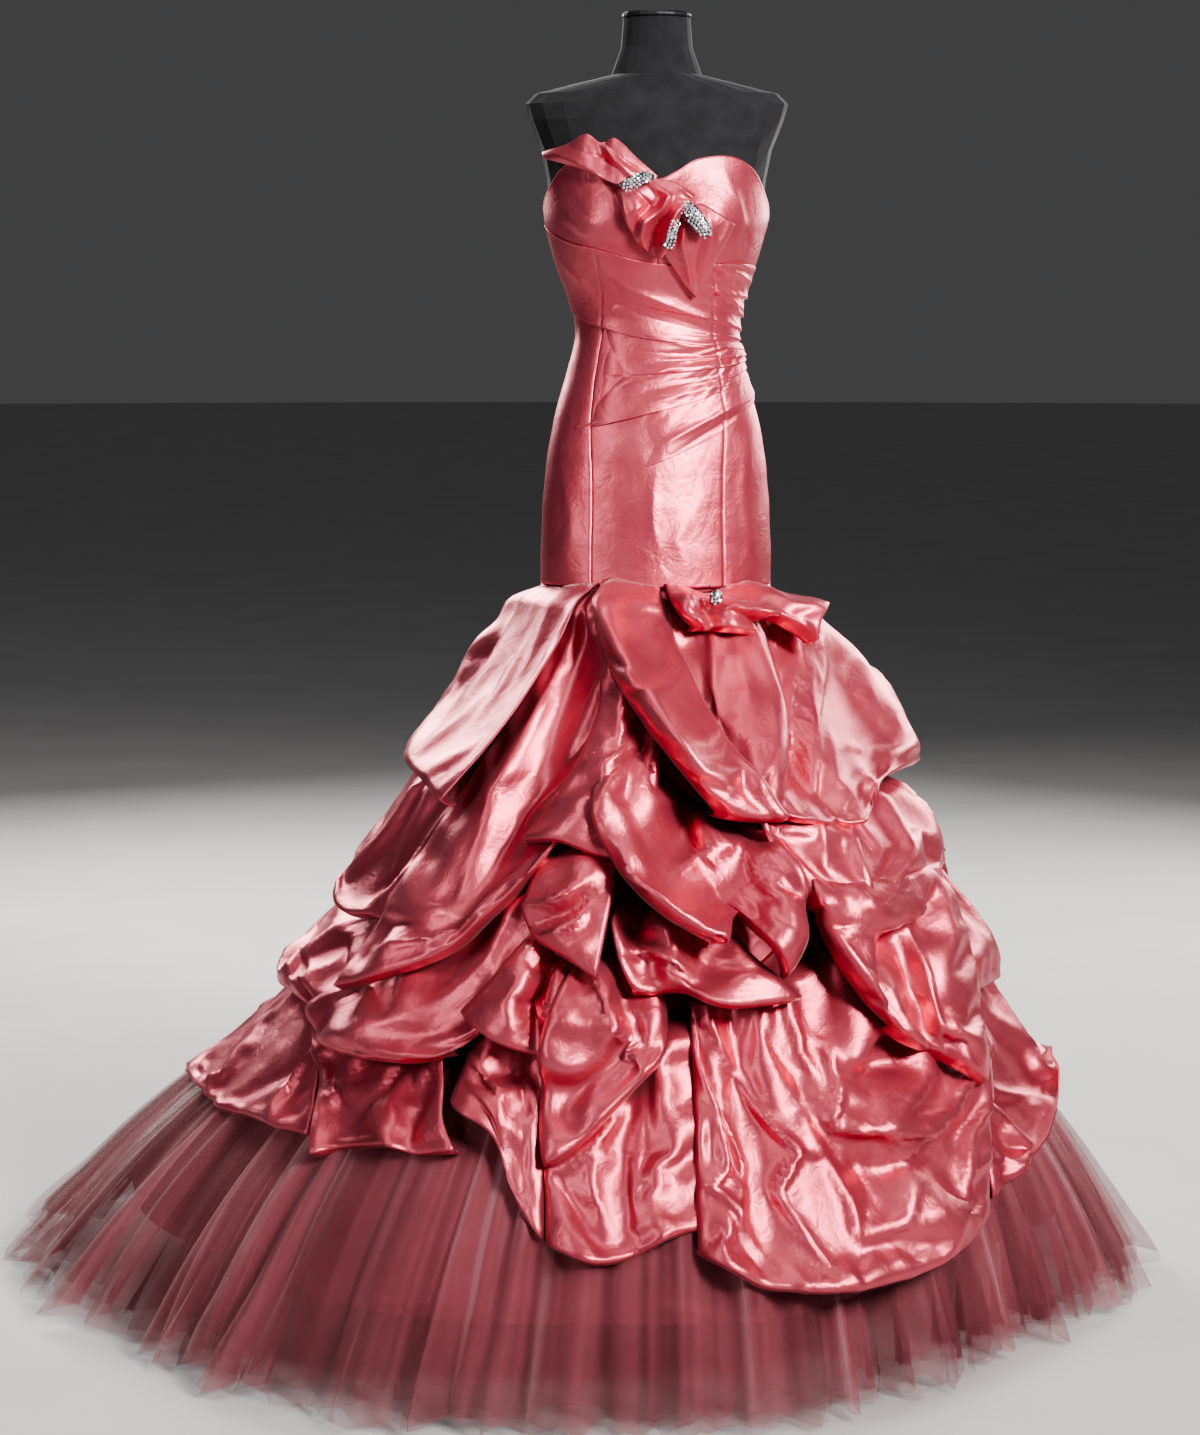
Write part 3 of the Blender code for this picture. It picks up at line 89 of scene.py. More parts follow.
# Folds of the overskirt, panel by panel from the innermost to the outermost. A row is a fold's line
# down the panel, at its top, middle and foot: angle, then height and rise above the satin's base in
# millimetres.
FOLD_UNITS = (1, 1000, 1000)
SATIN_PANELS = {
    "satin_hem_far_left": [
        (-135, 550, 30, -133, 400, 50, -131, 270, 50), (-112, 500, 30, -110, 380, 50, -108, 285, 60),
        (-97, 474, 20, -96, 370, 40, -91, 300, 50), (-91, 474, 20, -82, 375, 30, -79, 298, 30),
        (-84, 482, 20, -70, 403, 50, -64, 307, 50), (-78, 481, 10, -65, 390, 20, -55.5, 303, 20),
    ],
    "satin_hem_left": [
        (-72, 418, 10, -59, 354, 30, -51, 292, 40), (-65, 429, 10, -53.5, 360, 15, -47.5, 306, 15),
        (-52.5, 448, 20, -44.5, 377, 40, -39, 321, 40), (-45.5, 455, 10, -40, 378, 15, -35, 314, 20),
        (-39, 476, 20, -33.5, 389, 40, -28.5, 327, 50),
    ],
    "satin_hem_centre_left": [
        (-30.5, 495, 20, -31.5, 424, 30, -31, 379, 50), (-26, 499, 20, -25.5, 408, 40, -24, 347, 50),
        (-22, 498, 10, -21, 383, 20, -19.5, 276, 20), (-18.5, 498, 10, -17, 360, 10, -15, 229, 10),
    ],
    "satin_hem_centre": [
        (-18.5, 452, 10, -16.5, 328, 20, -14.5, 226, 20), (-10, 457, 20, -10, 335, 40, -8.5, 216, 40),
        (-3.5, 468, 10, -4.5, 331, 20, -3.5, 222, 20), (1, 482, 20, 0.5, 358, 40, 1, 240, 40),
        (8.5, 489, 0, 8, 360, 0, 7, 246, 0),
    ],
    "satin_side_right_low": [
        (50, 545, 10, 57, 392, 20, 58.5, 205, 20), (64, 558, 20, 70, 365, 40, 72, 262, 50),
        (90, 560, 20, 94, 379, 40, 94, 331, 70), (125, 520, 30, 125, 400, 50, 124, 270, 70),
    ],
    "satin_balloon_right": [
        (5.5, 521, 10, 5, 376, 20, 4.5, 221, 30), (9, 523, 20, 9, 381, 50, 8.5, 208, 60),
        (13, 520, 10, 13.5, 376, 35, 12.5, 190, 50), (18, 522, 30, 19, 380, 70, 17.5, 182, 70),
        (26, 550, 30, 26, 397, 70, 23.5, 177, 80), (38, 580, 40, 35, 420, 90, 30.5, 177, 80),
        (52, 590, 40, 49, 417, 80, 40, 190, 80), (68, 588, 30, 62, 422, 70, 52, 214, 60),
    ],
    "satin_side_left_low": [
        (-130, 620, 40, -130, 540, 70, -128, 440, 50), (-100, 560, 40, -98, 520, 80, -92, 450, 60),
        (-90, 548, 40, -80, 511, 80, -70, 450, 60), (-80, 552, 40, -69, 507, 70, -60, 415, 50),
        (-70, 590, 20, -60, 530, 30, -50, 440, 20),
    ],
    "satin_swag_left_low": [
        (-22, 690, 30, -44, 573, 40, -68.5, 453, 40), (-18.5, 688, 40, -35.5, 547, 70, -59, 418, 60),
        (-15.5, 680, 40, -28, 523, 70, -42.5, 425, 70), (-12.5, 663, 30, -21, 545, 40, -33, 438, 50),
    ],
    "satin_side_left_high": [
        (-128, 860, 40, -130, 740, 80, -130, 620, 60), (-100, 790, 30, -98, 680, 80, -92, 590, 80),
        (-87.5, 766, 30, -84, 664, 80, -76.5, 571, 80), (-74, 765, 30, -70, 668, 60, -64, 575, 60),
        (-58, 790, 10, -54, 680, 30, -50, 560, 20),
    ],
    "satin_ruffle_centre": [
        (-24, 580, 30, -28, 533, 50, -33, 485, 50), (-22, 581, 30, -22.5, 527, 70, -25, 462, 70),
        (-20, 581, 30, -19.5, 512, 45, -18.5, 444, 50), (-17.5, 582, 30, -15, 515, 80, -13.5, 446, 80),
        (-15, 583, 30, -12, 513, 55, -10, 450, 60), (-12.5, 583, 30, -9, 530, 70, -7, 480, 70),
    ],
    "satin_fold_centre": [
        (-14, 565, 30, -18, 435, 40, -16, 316, 40), (-11, 578, 30, -12, 465, 60, -11, 350, 50),
        (-7, 588, 40, -6.5, 491, 70, -4, 415, 60), (-2, 567, 30, 1, 504, 40, 0, 440, 40),
    ],
    "satin_swirl_low": [
        (-7, 647, 40, -8, 599, 80, -4.5, 527, 70), (-3.5, 640, 30, -3.5, 583, 50, 0, 527, 60),
        (0, 635, 40, 1, 582, 80, 4.5, 530, 80), (5, 623, 40, 7.5, 568, 70, 11, 514, 90),
        (12, 604, 40, 17, 555, 80, 22.5, 513, 80),
    ],
    "satin_point_flap": [
        (-21, 716, 60, -24, 636, 80, -22, 585, 70), (-14.5, 720, 75, -16, 636, 100, -15.5, 570, 90),
        (-8, 708, 60, -8.5, 624, 90, -10, 546, 90),
    ],
    "satin_side_right_mid": [
        (44, 640, 40, 49, 580, 60, 50, 496, 50), (62, 645, 30, 64, 590, 60, 67, 472, 60),
        (90, 660, 20, 91, 590, 50, 92, 460, 50), (120, 680, 20, 120, 590, 50, 120, 450, 60),
    ],
    "satin_puff_right_mid": [
        (17.5, 785, 50, 20, 722, 80, 22, 662, 70), (27, 780, 60, 26.5, 703, 110, 28, 627, 90),
        (38, 768, 60, 34.5, 690, 120, 34.5, 610, 90), (55, 768, 50, 46, 695, 110, 45.5, 610, 90),
        (73, 752, 30, 63, 688, 70, 60, 630, 70), (98, 757, 20, 92, 680, 50, 90, 620, 50),
        (120, 760, 20, 122, 660, 50, 120, 600, 50),
    ],
    "satin_swag_right_low": [
        (26, 660, 70, 29, 555, 90, 36.5, 470, 90), (32.5, 650, 80, 36, 545, 120, 40, 450, 110),
        (44.5, 650, 70, 45, 536, 80, 46, 430, 80), (57, 648, 70, 51, 525, 120, 50, 400, 110),
        (68, 640, 60, 63, 517, 90, 56, 370, 90),
    ],
    "satin_drape_left": [
        (-31, 1010, 20, -50.5, 786, 50, -59, 492, 90), (-29.5, 1011, 30, -40, 790, 90, -48.5, 520, 100),
        (-28, 1012, 30, -31.5, 800, 60, -38, 560, 90), (-26.5, 1012, 30, -22, 830, 80, -29.5, 620, 90),
        (-25, 1008, 20, -12, 880, 80, -21.5, 690, 90),
    ],
    "satin_drape_centre": [
        (-26, 1002, 20, -15, 878, 70, -27.5, 704, 80), (-24, 998, 20, -9.5, 885, 100, -18.5, 712, 110),
        (-22.5, 995, 20, -5, 878, 80, -11, 692, 90), (-20.5, 990, 10, -1.5, 860, 70, -5, 684, 70),
    ],
    "satin_cowl_centre": [
        (-12.5, 778, 60, -7.5, 680, 100, 7.5, 590, 110), (-8.5, 800, 70, -2.5, 690, 130, 10, 605, 130),
        (-4, 810, 60, 1.5, 700, 90, 12, 620, 100), (4.5, 764, 40, 7, 690, 50, 13.5, 625, 80),
        (13, 733, 50, 14.5, 660, 90, 15, 610, 110), (19, 721, 60, 20, 638, 120, 17.5, 585, 130),
        (24, 705, 50, 24.5, 610, 100, 20, 545, 100),
    ],
    "satin_puff_right_top": [
        (-4, 1000, 10, 2, 900, 30, 6, 820, 30), (12, 988, 10, 12, 890, 50, 12.5, 805, 60),
        (21, 992, 20, 16.5, 872, 80, 17, 777, 90), (32, 996, 20, 22.5, 856, 110, 22.5, 751, 100),
        (44, 999, 20, 29, 841, 110, 28.5, 736, 110), (54, 1001, 10, 38, 832, 50, 34.5, 729, 80),
        (64, 1002, 20, 46, 835, 80, 39.5, 725, 100), (75, 1002, 10, 56, 844, 70, 46, 732, 90),
        (90, 1002, 10, 76, 852, 50, 63, 765, 70), (122, 1001, 10, 124, 850, 50, 124, 740, 70),
    ],
    "satin_flap_left_top": [
        (-122, 1001, 10, -122, 915, 30, -122, 830, 60), (-66, 1005, 10, -76, 906, 20, -89, 785, 70),
        (-44, 1012, 20, -46, 897, 50, -60, 765, 90), (-30, 1016, 30, -34, 887, 80, -46.5, 742, 100),
    ],
    "satin_roll_centre": [
        (-27, 1020, 40, -5, 864, 100, 10.5, 744, 90), (-21, 1022, 50, -0.5, 877, 140, 14, 742, 110),
        (-12.5, 1018, 40, 7, 876, 110, 19, 738, 110), (1, 1010, 20, 12.5, 877, 60, 24, 738, 100),
    ],
}
# Swags behind: name, first and last angle, height where they are caught up, height of the foot at
# the ends and in the middle, the rise of the belly, and how far the belly leans to the last angle.
BACK_SWAGS = [
    ("satin_back_low_left", 206, 242, 0.52, 0.27, 0.22, 0.075, 1.2),
    ("satin_back_low_right", 118, 156, 0.53, 0.29, 0.23, 0.070, 0.8),
    ("satin_back_low_centre", 150, 212, 0.55, 0.26, 0.19, 0.090, 1.1),
    ("satin_back_mid_left", 200, 250, 0.76, 0.52, 0.44, 0.080, 0.75),
    ("satin_back_mid_right", 110, 160, 0.80, 0.56, 0.48, 0.085, 1.3),
    ("satin_back_mid_centre", 150, 209, 0.79, 0.50, 0.43, 0.095, 0.85),
    ("satin_back_top_left", 176, 250, 1.002, 0.80, 0.70, 0.080, 1.25),
    ("satin_back_top_right", 110, 184, 1.002, 0.78, 0.67, 0.090, 0.9),
]
SWAG_DEPTHS = (1.0, 0.55, 0.9, 0.65, 1.0)   # share of the belly's rise at each of a swag's folds
# Panels that hang flatter than the rest: share of the lesser creases, growth and edge roll.
SMOOTHER = {
    "satin_flap_left_top": {"amount": 0.06, "growth": 0.008, "roll": 0.0},
    "satin_side_left_high": {"amount": 0.25, "growth": 0.04, "roll": 0.003},
    "satin_side_left_low": {"amount": 0.25, "growth": 0.04},
    "satin_hem_far_left": {"amount": 0.30, "growth": 0.05, "roll": 0.003},
    "satin_roll_centre": {"amount": 0.25, "growth": 0.03, "roll": 0.009},
    "satin_drape_left": {"amount": 0.35, "growth": 0.05},
    "satin_puff_right_top": {"amount": 0.60, "growth": 0.07},
    "satin_drape_centre": {"amount": 0.30, "growth": 0.05, "roll": 0.001},
    "satin_point_flap": {"amount": 0.30, "growth": 0.04, "roll": 0.001},
}
# The bow at the hip, in the same columns as the folds above.
HIP_BOW = {
    "hip_bow_tail": [
        (23, 1003, 40, 21, 998, 60, 22, 989, 50), (48, 1016, 30, 38.5, 1002, 70, 37.5, 980, 70),
        (62.5, 1005, 50, 47, 991, 90, 46, 962, 80), (66, 996, 90, 52.5, 978, 110, 49.5, 946, 100),
    ],
    "hip_bow_loop": [
        (4, 1015, 20, 5.5, 991, 40, 11, 965, 40), (11, 1015, 50, 10, 997, 80, 14, 968, 70),
        (20, 1005, 30, 17.5, 988, 40, 18.5, 965, 50), (29, 998, 40, 23.5, 984, 70, 24.5, 964, 70),
        (40, 985, 30, 36, 971, 40, 35.5, 956, 40),
    ],
}
# The bow at the bust. A row is a fold's line at its top, middle and foot: place across, height and
# rise above the bodice, all in millimetres.
BOW_UNITS = (1000, 1000, 1000)
BUST_BOW = {
    "bust_bow_upper_leaf": [
        (-144, 1595, 12, -143, 1591, 13, -142, 1587, 12),
        (-115, 1604, 10, -112, 1588, 16, -105, 1574, 10), (-89, 1617, 12, -85, 1587, 20, -75, 1561, 12),
        (-71, 1605, 9, -70, 1582, 13, -64, 1555, 9), (-52, 1610, 13, -52, 1578, 19, -50, 1549, 11),
        (-26, 1584, 8, -30, 1563, 14, -35, 1545, 8), (0, 1560, 6, -6, 1550, 8, -12, 1541, 6),
    ],
    "bust_bow_lower_leaf": [
        (20, 1515, 8, 14, 1488, 10, 8, 1458, 8), (50, 1524, 10, 36, 1475, 15, 22, 1435, 10),
        (74, 1512, 10, 55, 1460, 16, 36, 1412, 11), (97, 1497, 9, 72, 1450, 11, 46, 1399, 12),
    ],
    "bust_bow_knot": [
        (-50, 1542, 12, -46, 1520, 14, -30, 1478, 10), (-28, 1549, 18, -24, 1518, 30, -17, 1464, 16),
        (-4, 1556, 16, -3, 1510, 20, -6, 1456, 14), (20, 1551, 20, 18, 1512, 32, 4, 1453, 18),
        (45, 1535, 14, 32, 1518, 18, 14, 1470, 12),
    ],
}
# Pleats of the draped strips: height at the left, in front and at the right, depth and softness of
# the step in millimetres, and the angles between which it grows to its depth.
PLEATS = {
    "wrap_midriff": [
        (1.470, 1.415, 1.397, 4.5, 14, 18, 58), (1.450, 1.402, 1.372, 4.0, 12, 22, 66),
        (1.432, 1.385, 1.352, 3.0, 16, -30, 60), (1.420, 1.362, 1.340, 2.6, 14, 0, 70),
    ],
    "wrap_waist": [
        (1.330, 1.316, 1.322, 3.0, 16, -20, 60), (1.290, 1.298, 1.316, 3.4, 14, -55, 40),
        (1.262, 1.276, 1.306, 2.4, 16, 5, 70),
    ],
    "wrap_hip": [(1.196, 1.225, 1.272, 2.0, 14, 30, 80)],
}
# Rhinestone brooches: name, place across, height, half length, half width, tilt of the length.
BROOCHES = [
    ("brooch_upper", -0.028, 1.5535, 0.024, 0.009, 18),
    ("brooch_lower_left", 0.0180, 1.4820, 0.021, 0.007, 68),
    ("brooch_lower_right", 0.0500, 1.5030, 0.028, 0.011, -55),
    ("brooch_hip", 0.0770, 1.0030, 0.011, 0.008, 70),
]

# ---------------------------------------------------------------- the photograph's camera
PHOTO_CENTRE = (600.0, 717.5)   # pixels of the 1200 by 1435 frame
PIXELS_HIGH = 1435
CAMERA_PLACE = (-0.0773, -4.55, 1.40)
CAMERA_TILT = math.radians(7.3)
CAMERA_LENS = 82.23          # millimetres, as the sensor
SENSOR = 36.0
PIXEL = 1.36                 # millimetres a pixel on the gown's front
BEAD_PLACE = (527, 947)      # the stone in the left swag, in the photograph

CREASE_SCALE = 1.5           # how much deeper the overskirt's creases are laid than they settle
# The main creases by panel: height of the ridge (a trough below zero) and its half width, both in
# millimetres, then its line across the photograph in pixels, across and down in turn.
CREASES = {
    "satin_flap_left_top": [
        (-3, 14, 447, 690, 468, 738, 471, 746), (3, 8, 468, 745, 442, 752, 434, 789),
        (-2, 16, 530, 604, 500, 650, 455, 720), (4, 7, 586, 592, 520, 680, 470, 748),
    ],
    "satin_drape_left": [
        (10, 10, 586, 594, 530, 690, 482, 781, 447, 896), (-8, 8, 551, 647, 474, 754, 444, 808),
        (-11, 12, 602, 690, 578, 727, 509, 797, 468, 875),
        (11, 9, 586, 607, 608, 666, 634, 698, 632, 722, 600, 744, 543, 781, 514, 808, 495, 840),
        (6, 6, 600, 770, 567, 773, 535, 789), (9, 7, 409, 897, 435, 897, 458, 906),
        (-7, 8, 440, 870, 425, 890, 400, 905), (8, 8, 365, 950, 435, 935, 476, 906, 529, 839),
        (-9, 10, 417, 918, 382, 921, 359, 956),
    ],
    "satin_drape_centre": [
        (8, 6, 642, 725, 605, 762, 600, 789), (-12, 12, 650, 690, 640, 740, 625, 800),
        (9, 8, 598, 789, 613, 829, 637, 869), (6, 8, 560, 800, 590, 795, 600, 789),
    ],
    "satin_roll_centre": [
        (13, 20, 600, 590, 640, 660, 672, 720, 702, 770), (-8, 10, 629, 599, 664, 620, 677, 647),
        (6, 8, 645, 618, 696, 634, 717, 644), (-6, 8, 640, 690, 680, 745, 720, 790),
    ],
    "satin_cowl_centre": [
        (-20, 16, 677, 768, 683, 821, 688, 861), (10, 8, 742, 811, 731, 837, 701, 851, 685, 867),
        (10, 6, 721, 919, 727, 933, 763, 944, 766, 947, 747, 953), (8, 6, 747, 877, 744, 902, 721, 916),
        (7, 7, 761, 891, 772, 930), (-10, 7, 685, 925, 724, 941, 758, 941),
        (12, 8, 613, 829, 637, 869, 675, 899, 720, 925),
    ],
    "satin_swirl_low": [
        (9, 7, 614, 921, 626, 950, 652, 947, 673, 953, 690, 968), (-12, 9, 646, 903, 626, 944),
        (8, 7, 661, 897, 675, 944), (6, 6, 640, 997, 661, 982, 681, 979, 717, 1000),
        (-7, 8, 690, 940, 720, 965, 765, 970),
    ],
    "satin_fold_centre": [
        (10, 6, 593, 950, 617, 1015, 637, 1050, 643, 1073), (-9, 8, 611, 944, 626, 1003, 643, 1044),
        (7, 6, 623, 1032, 649, 1067, 664, 1050, 677, 1012), (-6, 12, 600, 1000, 590, 1060, 560, 1110),
    ],
    "satin_ruffle_centre": [
        (8, 6, 546, 950, 511, 1003, 517, 1044), (14, 8, 564, 962, 549, 1015, 552, 1056),
        (-9, 7, 558, 956, 535, 1009, 526, 1044), (-15, 9, 579, 968, 570, 1044),
        (13, 7, 586, 979, 594, 1015, 588, 1056),
    ],
    "satin_point_flap": [
        (12, 7, 602, 871, 549, 897, 514, 909), (7, 5, 605, 880, 579, 918, 541, 934),
        (-13, 9, 595, 895, 560, 915, 530, 925),
    ],
    "satin_swag_left_low": [
        (11, 10, 558, 842, 511, 909, 488, 944, 417, 997, 329, 1041),
        (-10, 10, 505, 906, 417, 968, 318, 1003), (7, 8, 482, 944, 370, 985, 312, 997),
        (9, 6, 514, 909, 538, 921, 535, 933, 476, 1003), (-7, 8, 500, 970, 440, 1015, 380, 1035),
    ],
    "satin_hem_left": [
        (9, 6, 370, 1088, 376, 1120, 394, 1147), (8, 6, 453, 1103, 447, 1111, 455, 1144),
        (-9, 14, 397, 1062, 359, 1097), (6, 8, 318, 1097, 312, 1152), (-6, 10, 430, 1060, 420, 1120),
    ],
    "satin_hem_centre_left": [
        (9, 7, 505, 1038, 482, 1059, 499, 1088, 505, 1126), (-10, 8, 464, 1088, 488, 1126, 505, 1170),
        (6, 9, 520, 1053, 535, 1103, 532, 1179),
    ],
    "satin_hem_centre": [
        (8, 10, 612, 1096, 589, 1165, 612, 1226), (6, 8, 650, 1057, 635, 1134, 643, 1233),
        (-9, 10, 551, 1157, 582, 1210, 597, 1241), (9, 7, 551, 1172, 612, 1111, 639, 1088),
    ],
    "satin_balloon_right": [
        (10, 7, 685, 1000, 705, 1084, 724, 1157, 706, 1180, 738, 1202, 777, 1258),
        (-12, 8, 693, 1006, 724, 1113, 744, 1169), (8, 5, 713, 1084, 747, 1155, 738, 1202),
        (11, 7, 710, 1017, 758, 1093, 803, 1135, 797, 1157, 786, 1180, 814, 1225, 839, 1261),
        (-10, 10, 763, 1017, 808, 1070, 814, 1093), (9, 5, 792, 1000, 808, 1040, 828, 1068, 825, 1084),
        (13, 8, 808, 1023, 836, 1040, 848, 1073, 834, 1104, 842, 1115, 893, 1107, 921, 1084, 937, 1054),
        (-18, 14, 915, 1026, 893, 1040, 887, 1065),
        (10, 7, 811, 1107, 836, 1149, 862, 1197, 864, 1222, 909, 1214, 923, 1174, 909, 1152),
        (-11, 12, 878, 1129, 870, 1163, 893, 1197), (6, 5, 800, 1138, 828, 1141),
        (8, 6, 943, 1113, 915, 1152, 893, 1118), (-14, 8, 982, 1056, 954, 1113, 926, 1157),
        (9, 7, 988, 1040, 991, 1099, 977, 1129, 971, 1214), (6, 5, 951, 1191, 971, 1216),
        (5, 5, 850, 1262, 864, 1290), (5, 6, 900, 1250, 915, 1275), (5, 6, 800, 1270, 815, 1290),
        (18, 17, 985, 960, 983, 1039, 960, 1098, 924, 1118, 864, 1112, 824, 1085),
        (-20, 16, 905, 1010, 915, 1050, 880, 1070, 850, 1060),
        (-10, 13, 840, 1145, 885, 1162, 940, 1152, 975, 1110),
    ],
    "satin_side_right_low": [
        (8, 5, 985, 1169, 982, 1233), (9, 6, 996, 1090, 1027, 1135, 1019, 1177),
        (6, 6, 991, 1065, 1005, 1079, 1030, 1085), (6, 8, 1019, 1017, 1044, 1062),
        (-8, 8, 1005, 1110, 1010, 1160, 1000, 1200),
    ],
    "satin_swag_right_low": [
        (13, 9, 904, 899, 929, 967, 940, 1017, 937, 1042),
        (11, 9, 808, 899, 836, 939, 870, 981, 904, 1023), (-16, 10, 887, 939, 893, 983, 909, 1017),
        (8, 8, 845, 930, 893, 911, 921, 877), (-6, 8, 820, 880, 860, 895, 900, 880),
    ],
    "satin_puff_right_mid": [
        (10, 8, 760, 815, 819, 815, 852, 825), (8, 6, 762, 818, 757, 836, 770, 848),
        (11, 8, 908, 836, 903, 861, 870, 894), (-10, 8, 900, 843, 885, 874, 860, 890),
        (6, 8, 857, 815, 872, 876), (-6, 12, 800, 835, 830, 865, 850, 885),
    ],
    "satin_puff_right_top": [
        (8, 6, 717, 677, 719, 723, 737, 759, 762, 800, 803, 815, 824, 818),
        (7, 6, 717, 652, 706, 703, 704, 723, 711, 744), (-5, 5, 711, 690, 712, 730),
        (-12, 7, 816, 644, 813, 713, 798, 784), (9, 7, 819, 644, 819, 713, 819, 790, 829, 813),
        (-8, 8, 836, 662, 839, 739, 829, 805), (7, 4, 773, 756, 750, 782),
        (5, 5, 773, 756, 768, 790, 773, 802), (6, 5, 829, 813, 864, 795, 885, 785),
        (6, 12, 831, 805, 877, 754), (6, 6, 834, 649, 870, 703, 908, 759), (4, 5, 852, 726, 882, 739),
        (-6, 6, 793, 784, 803, 805),
    ],
    "satin_side_left_high": [
        (-12, 18, 403, 839, 353, 897), (6, 8, 440, 810, 400, 850, 385, 900),
    ],
    "satin_side_left_low": [
        (9, 7, 329, 915, 306, 944, 315, 997), (-9, 8, 332, 918, 326, 962, 329, 985),
    ],
    "satin_hem_far_left": [
        (7, 8, 321, 1034, 275, 1088, 268, 1110), (6, 8, 222, 1065, 207, 1096),
        (-7, 9, 300, 1040, 250, 1085, 240, 1105), (5, 7, 270, 1010, 235, 1060),
    ],
    "hip_bow_loop": [
        (8, 5, 671, 590, 674, 607, 694, 626), (-8, 5, 686, 600, 695, 612, 708, 612),
        (6, 4, 700, 628, 712, 634), (6, 4, 716, 632, 725, 622),
    ],
    "hip_bow_tail": [
        (7, 5, 732, 603, 765, 606, 800, 625, 816, 640), (-7, 5, 740, 612, 780, 622, 812, 640),
        (5, 8, 760, 592, 800, 600, 826, 606),
    ],
}
# The same for the bodice, its draped strips and its bow.
BOW_CREASES = {
    "bust_bow_knot": [
        (13, 5, 648, 182, 668, 196, 662, 210, 646, 222, 641, 240),
        (-9, 5, 634, 190, 650, 206, 636, 220, 632, 236),
        (13, 5, 680, 186, 692, 199, 676, 212, 666, 235, 661, 256),
        (-9, 5, 670, 206, 655, 226, 650, 252), (6, 4, 622, 194, 628, 222, 640, 248),
    ],
    "bust_bow_upper_leaf": [
        (5, 5, 551, 152, 590, 168, 622, 189), (-5, 6, 572, 149, 604, 160, 632, 182),
        (5, 5, 592, 138, 606, 148, 634, 178), (-4, 4, 602, 141, 622, 160, 648, 176),
    ],
    "bust_bow_lower_leaf": [
        (8, 5, 684, 214, 681, 245, 693, 293), (-6, 7, 704, 226, 698, 256, 694, 282),
        (6, 5, 729, 226, 713, 255, 695, 294), (4, 5, 708, 214, 712, 240, 700, 270),
    ],
    "cup_left": [
        (-3, 9, 566, 178, 585, 205, 620, 222), (2, 8, 556, 200, 580, 232, 618, 246),
        (-2, 7, 560, 222, 590, 243, 628, 252), (2, 6, 590, 165, 606, 186, 622, 200),
    ],
    "cup_right": [
        (-2, 8, 700, 172, 712, 195, 735, 215), (2, 7, 722, 168, 738, 200, 752, 240),
        (-2, 6, 742, 190, 748, 220, 742, 262),
    ],
    "gore_front_centre": [
        (2, 10, 738, 380, 705, 410, 640, 455), (-2, 10, 716, 420, 690, 470, 690, 520),
        (2, 9, 655, 476, 653, 520, 659, 552), (-2, 14, 600, 470, 622, 520, 612, 570),
        (2, 12, 700, 500, 676, 540, 690, 575),
    ],
    "gore_front_left_side": [
        (2, 10, 560, 470, 572, 520, 566, 570), (-2, 9, 548, 440, 560, 490, 552, 550),
    ],
    "gore_front_right_side": [
        (2, 10, 752, 430, 742, 490, 752, 560), (-2, 10, 735, 440, 732, 500, 738, 570),
    ],
    "wrap_midriff": [
        (4, 5, 708, 253, 735, 262, 752, 270), (4, 5, 716, 268, 738, 274, 750, 282),
        (4, 4, 708, 287, 726, 296, 741, 308), (-3, 5, 700, 262, 722, 283, 742, 292),
        (3, 6, 597, 268, 630, 290, 700, 318, 736, 330), (-3, 7, 590, 285, 640, 312, 700, 328, 736, 340),
        (2, 6, 560, 262, 580, 280, 600, 310), (-2, 6, 612, 276, 618, 292, 612, 308),
    ],
    "wrap_waist": [
        (3, 5, 737, 349, 691, 346, 650, 336), (-3, 5, 738, 356, 690, 356, 640, 352),
        (3, 6, 737, 364, 668, 369, 618, 386), (-3, 6, 730, 374, 670, 384, 630, 398),
        (2, 6, 735, 382, 690, 392, 650, 404), (-2, 7, 610, 345, 625, 372, 600, 400),
    ],
    "wrap_hip": [
        (3, 6, 748, 398, 700, 424, 660, 446), (-3, 6, 750, 406, 706, 436, 668, 458),
    ],
}


# ---------------------------------------------------------------- curves through the tables
def hermite(knots, values, at):
    """Smooth curve through values at rising knots, level past the ends."""
    knots, values = np.asarray(knots, float), np.asarray(values, float)
    last = len(knots) - 1
    at = np.clip(np.asarray(at, float), knots[0], knots[-1])
    i = np.clip(np.searchsorted(knots, at, side="right") - 1, 0, last - 1)
    low, high = np.maximum(np.arange(last + 1) - 1, 0), np.minimum(np.arange(last + 1) + 1, last)
    spans = (knots[high] - knots[low])[(...,) + (None,) * (values.ndim - 1)]
    slope = (values[high] - values[low]) / spans
    step = knots[i + 1] - knots[i]
    t = (at - knots[i]) / step
    if values.ndim > 1:
        t, step = t[..., None], step[..., None]
    return (values[i] * (1 + 2 * t) * (1 - t) ** 2 + values[i + 1] * t * t * (3 - 2 * t)
            + step * (slope[i] * t * (1 - t) ** 2 - slope[i + 1] * t * t * (1 - t)))


def column(rows, number, at):
    """One column of a table, at places along its first column."""
    rows = np.array(rows, float)
    return hermite(rows[:, 0], rows[:, number], at)


def table_line(table, shift=0.0):
    return lambda angle: column(table, 1, wrapped(angle)) + shift


def smoothstep(low, high, at):
    t = np.clip((at - low) / (high - low), 0, 1)
    return t * t * (3 - 2 * t)


def wrapped(angle):
    return (np.asarray(angle, float) + 180) % 360 - 180


def places(rows, columns):
    """Places across and down a net, from 0 to 1."""
    s, t = np.linspace(0, 1, columns)[None, :], np.linspace(0, 1, rows)[:, None]
    return s * np.ones((rows, 1)), t * np.ones((1, columns))


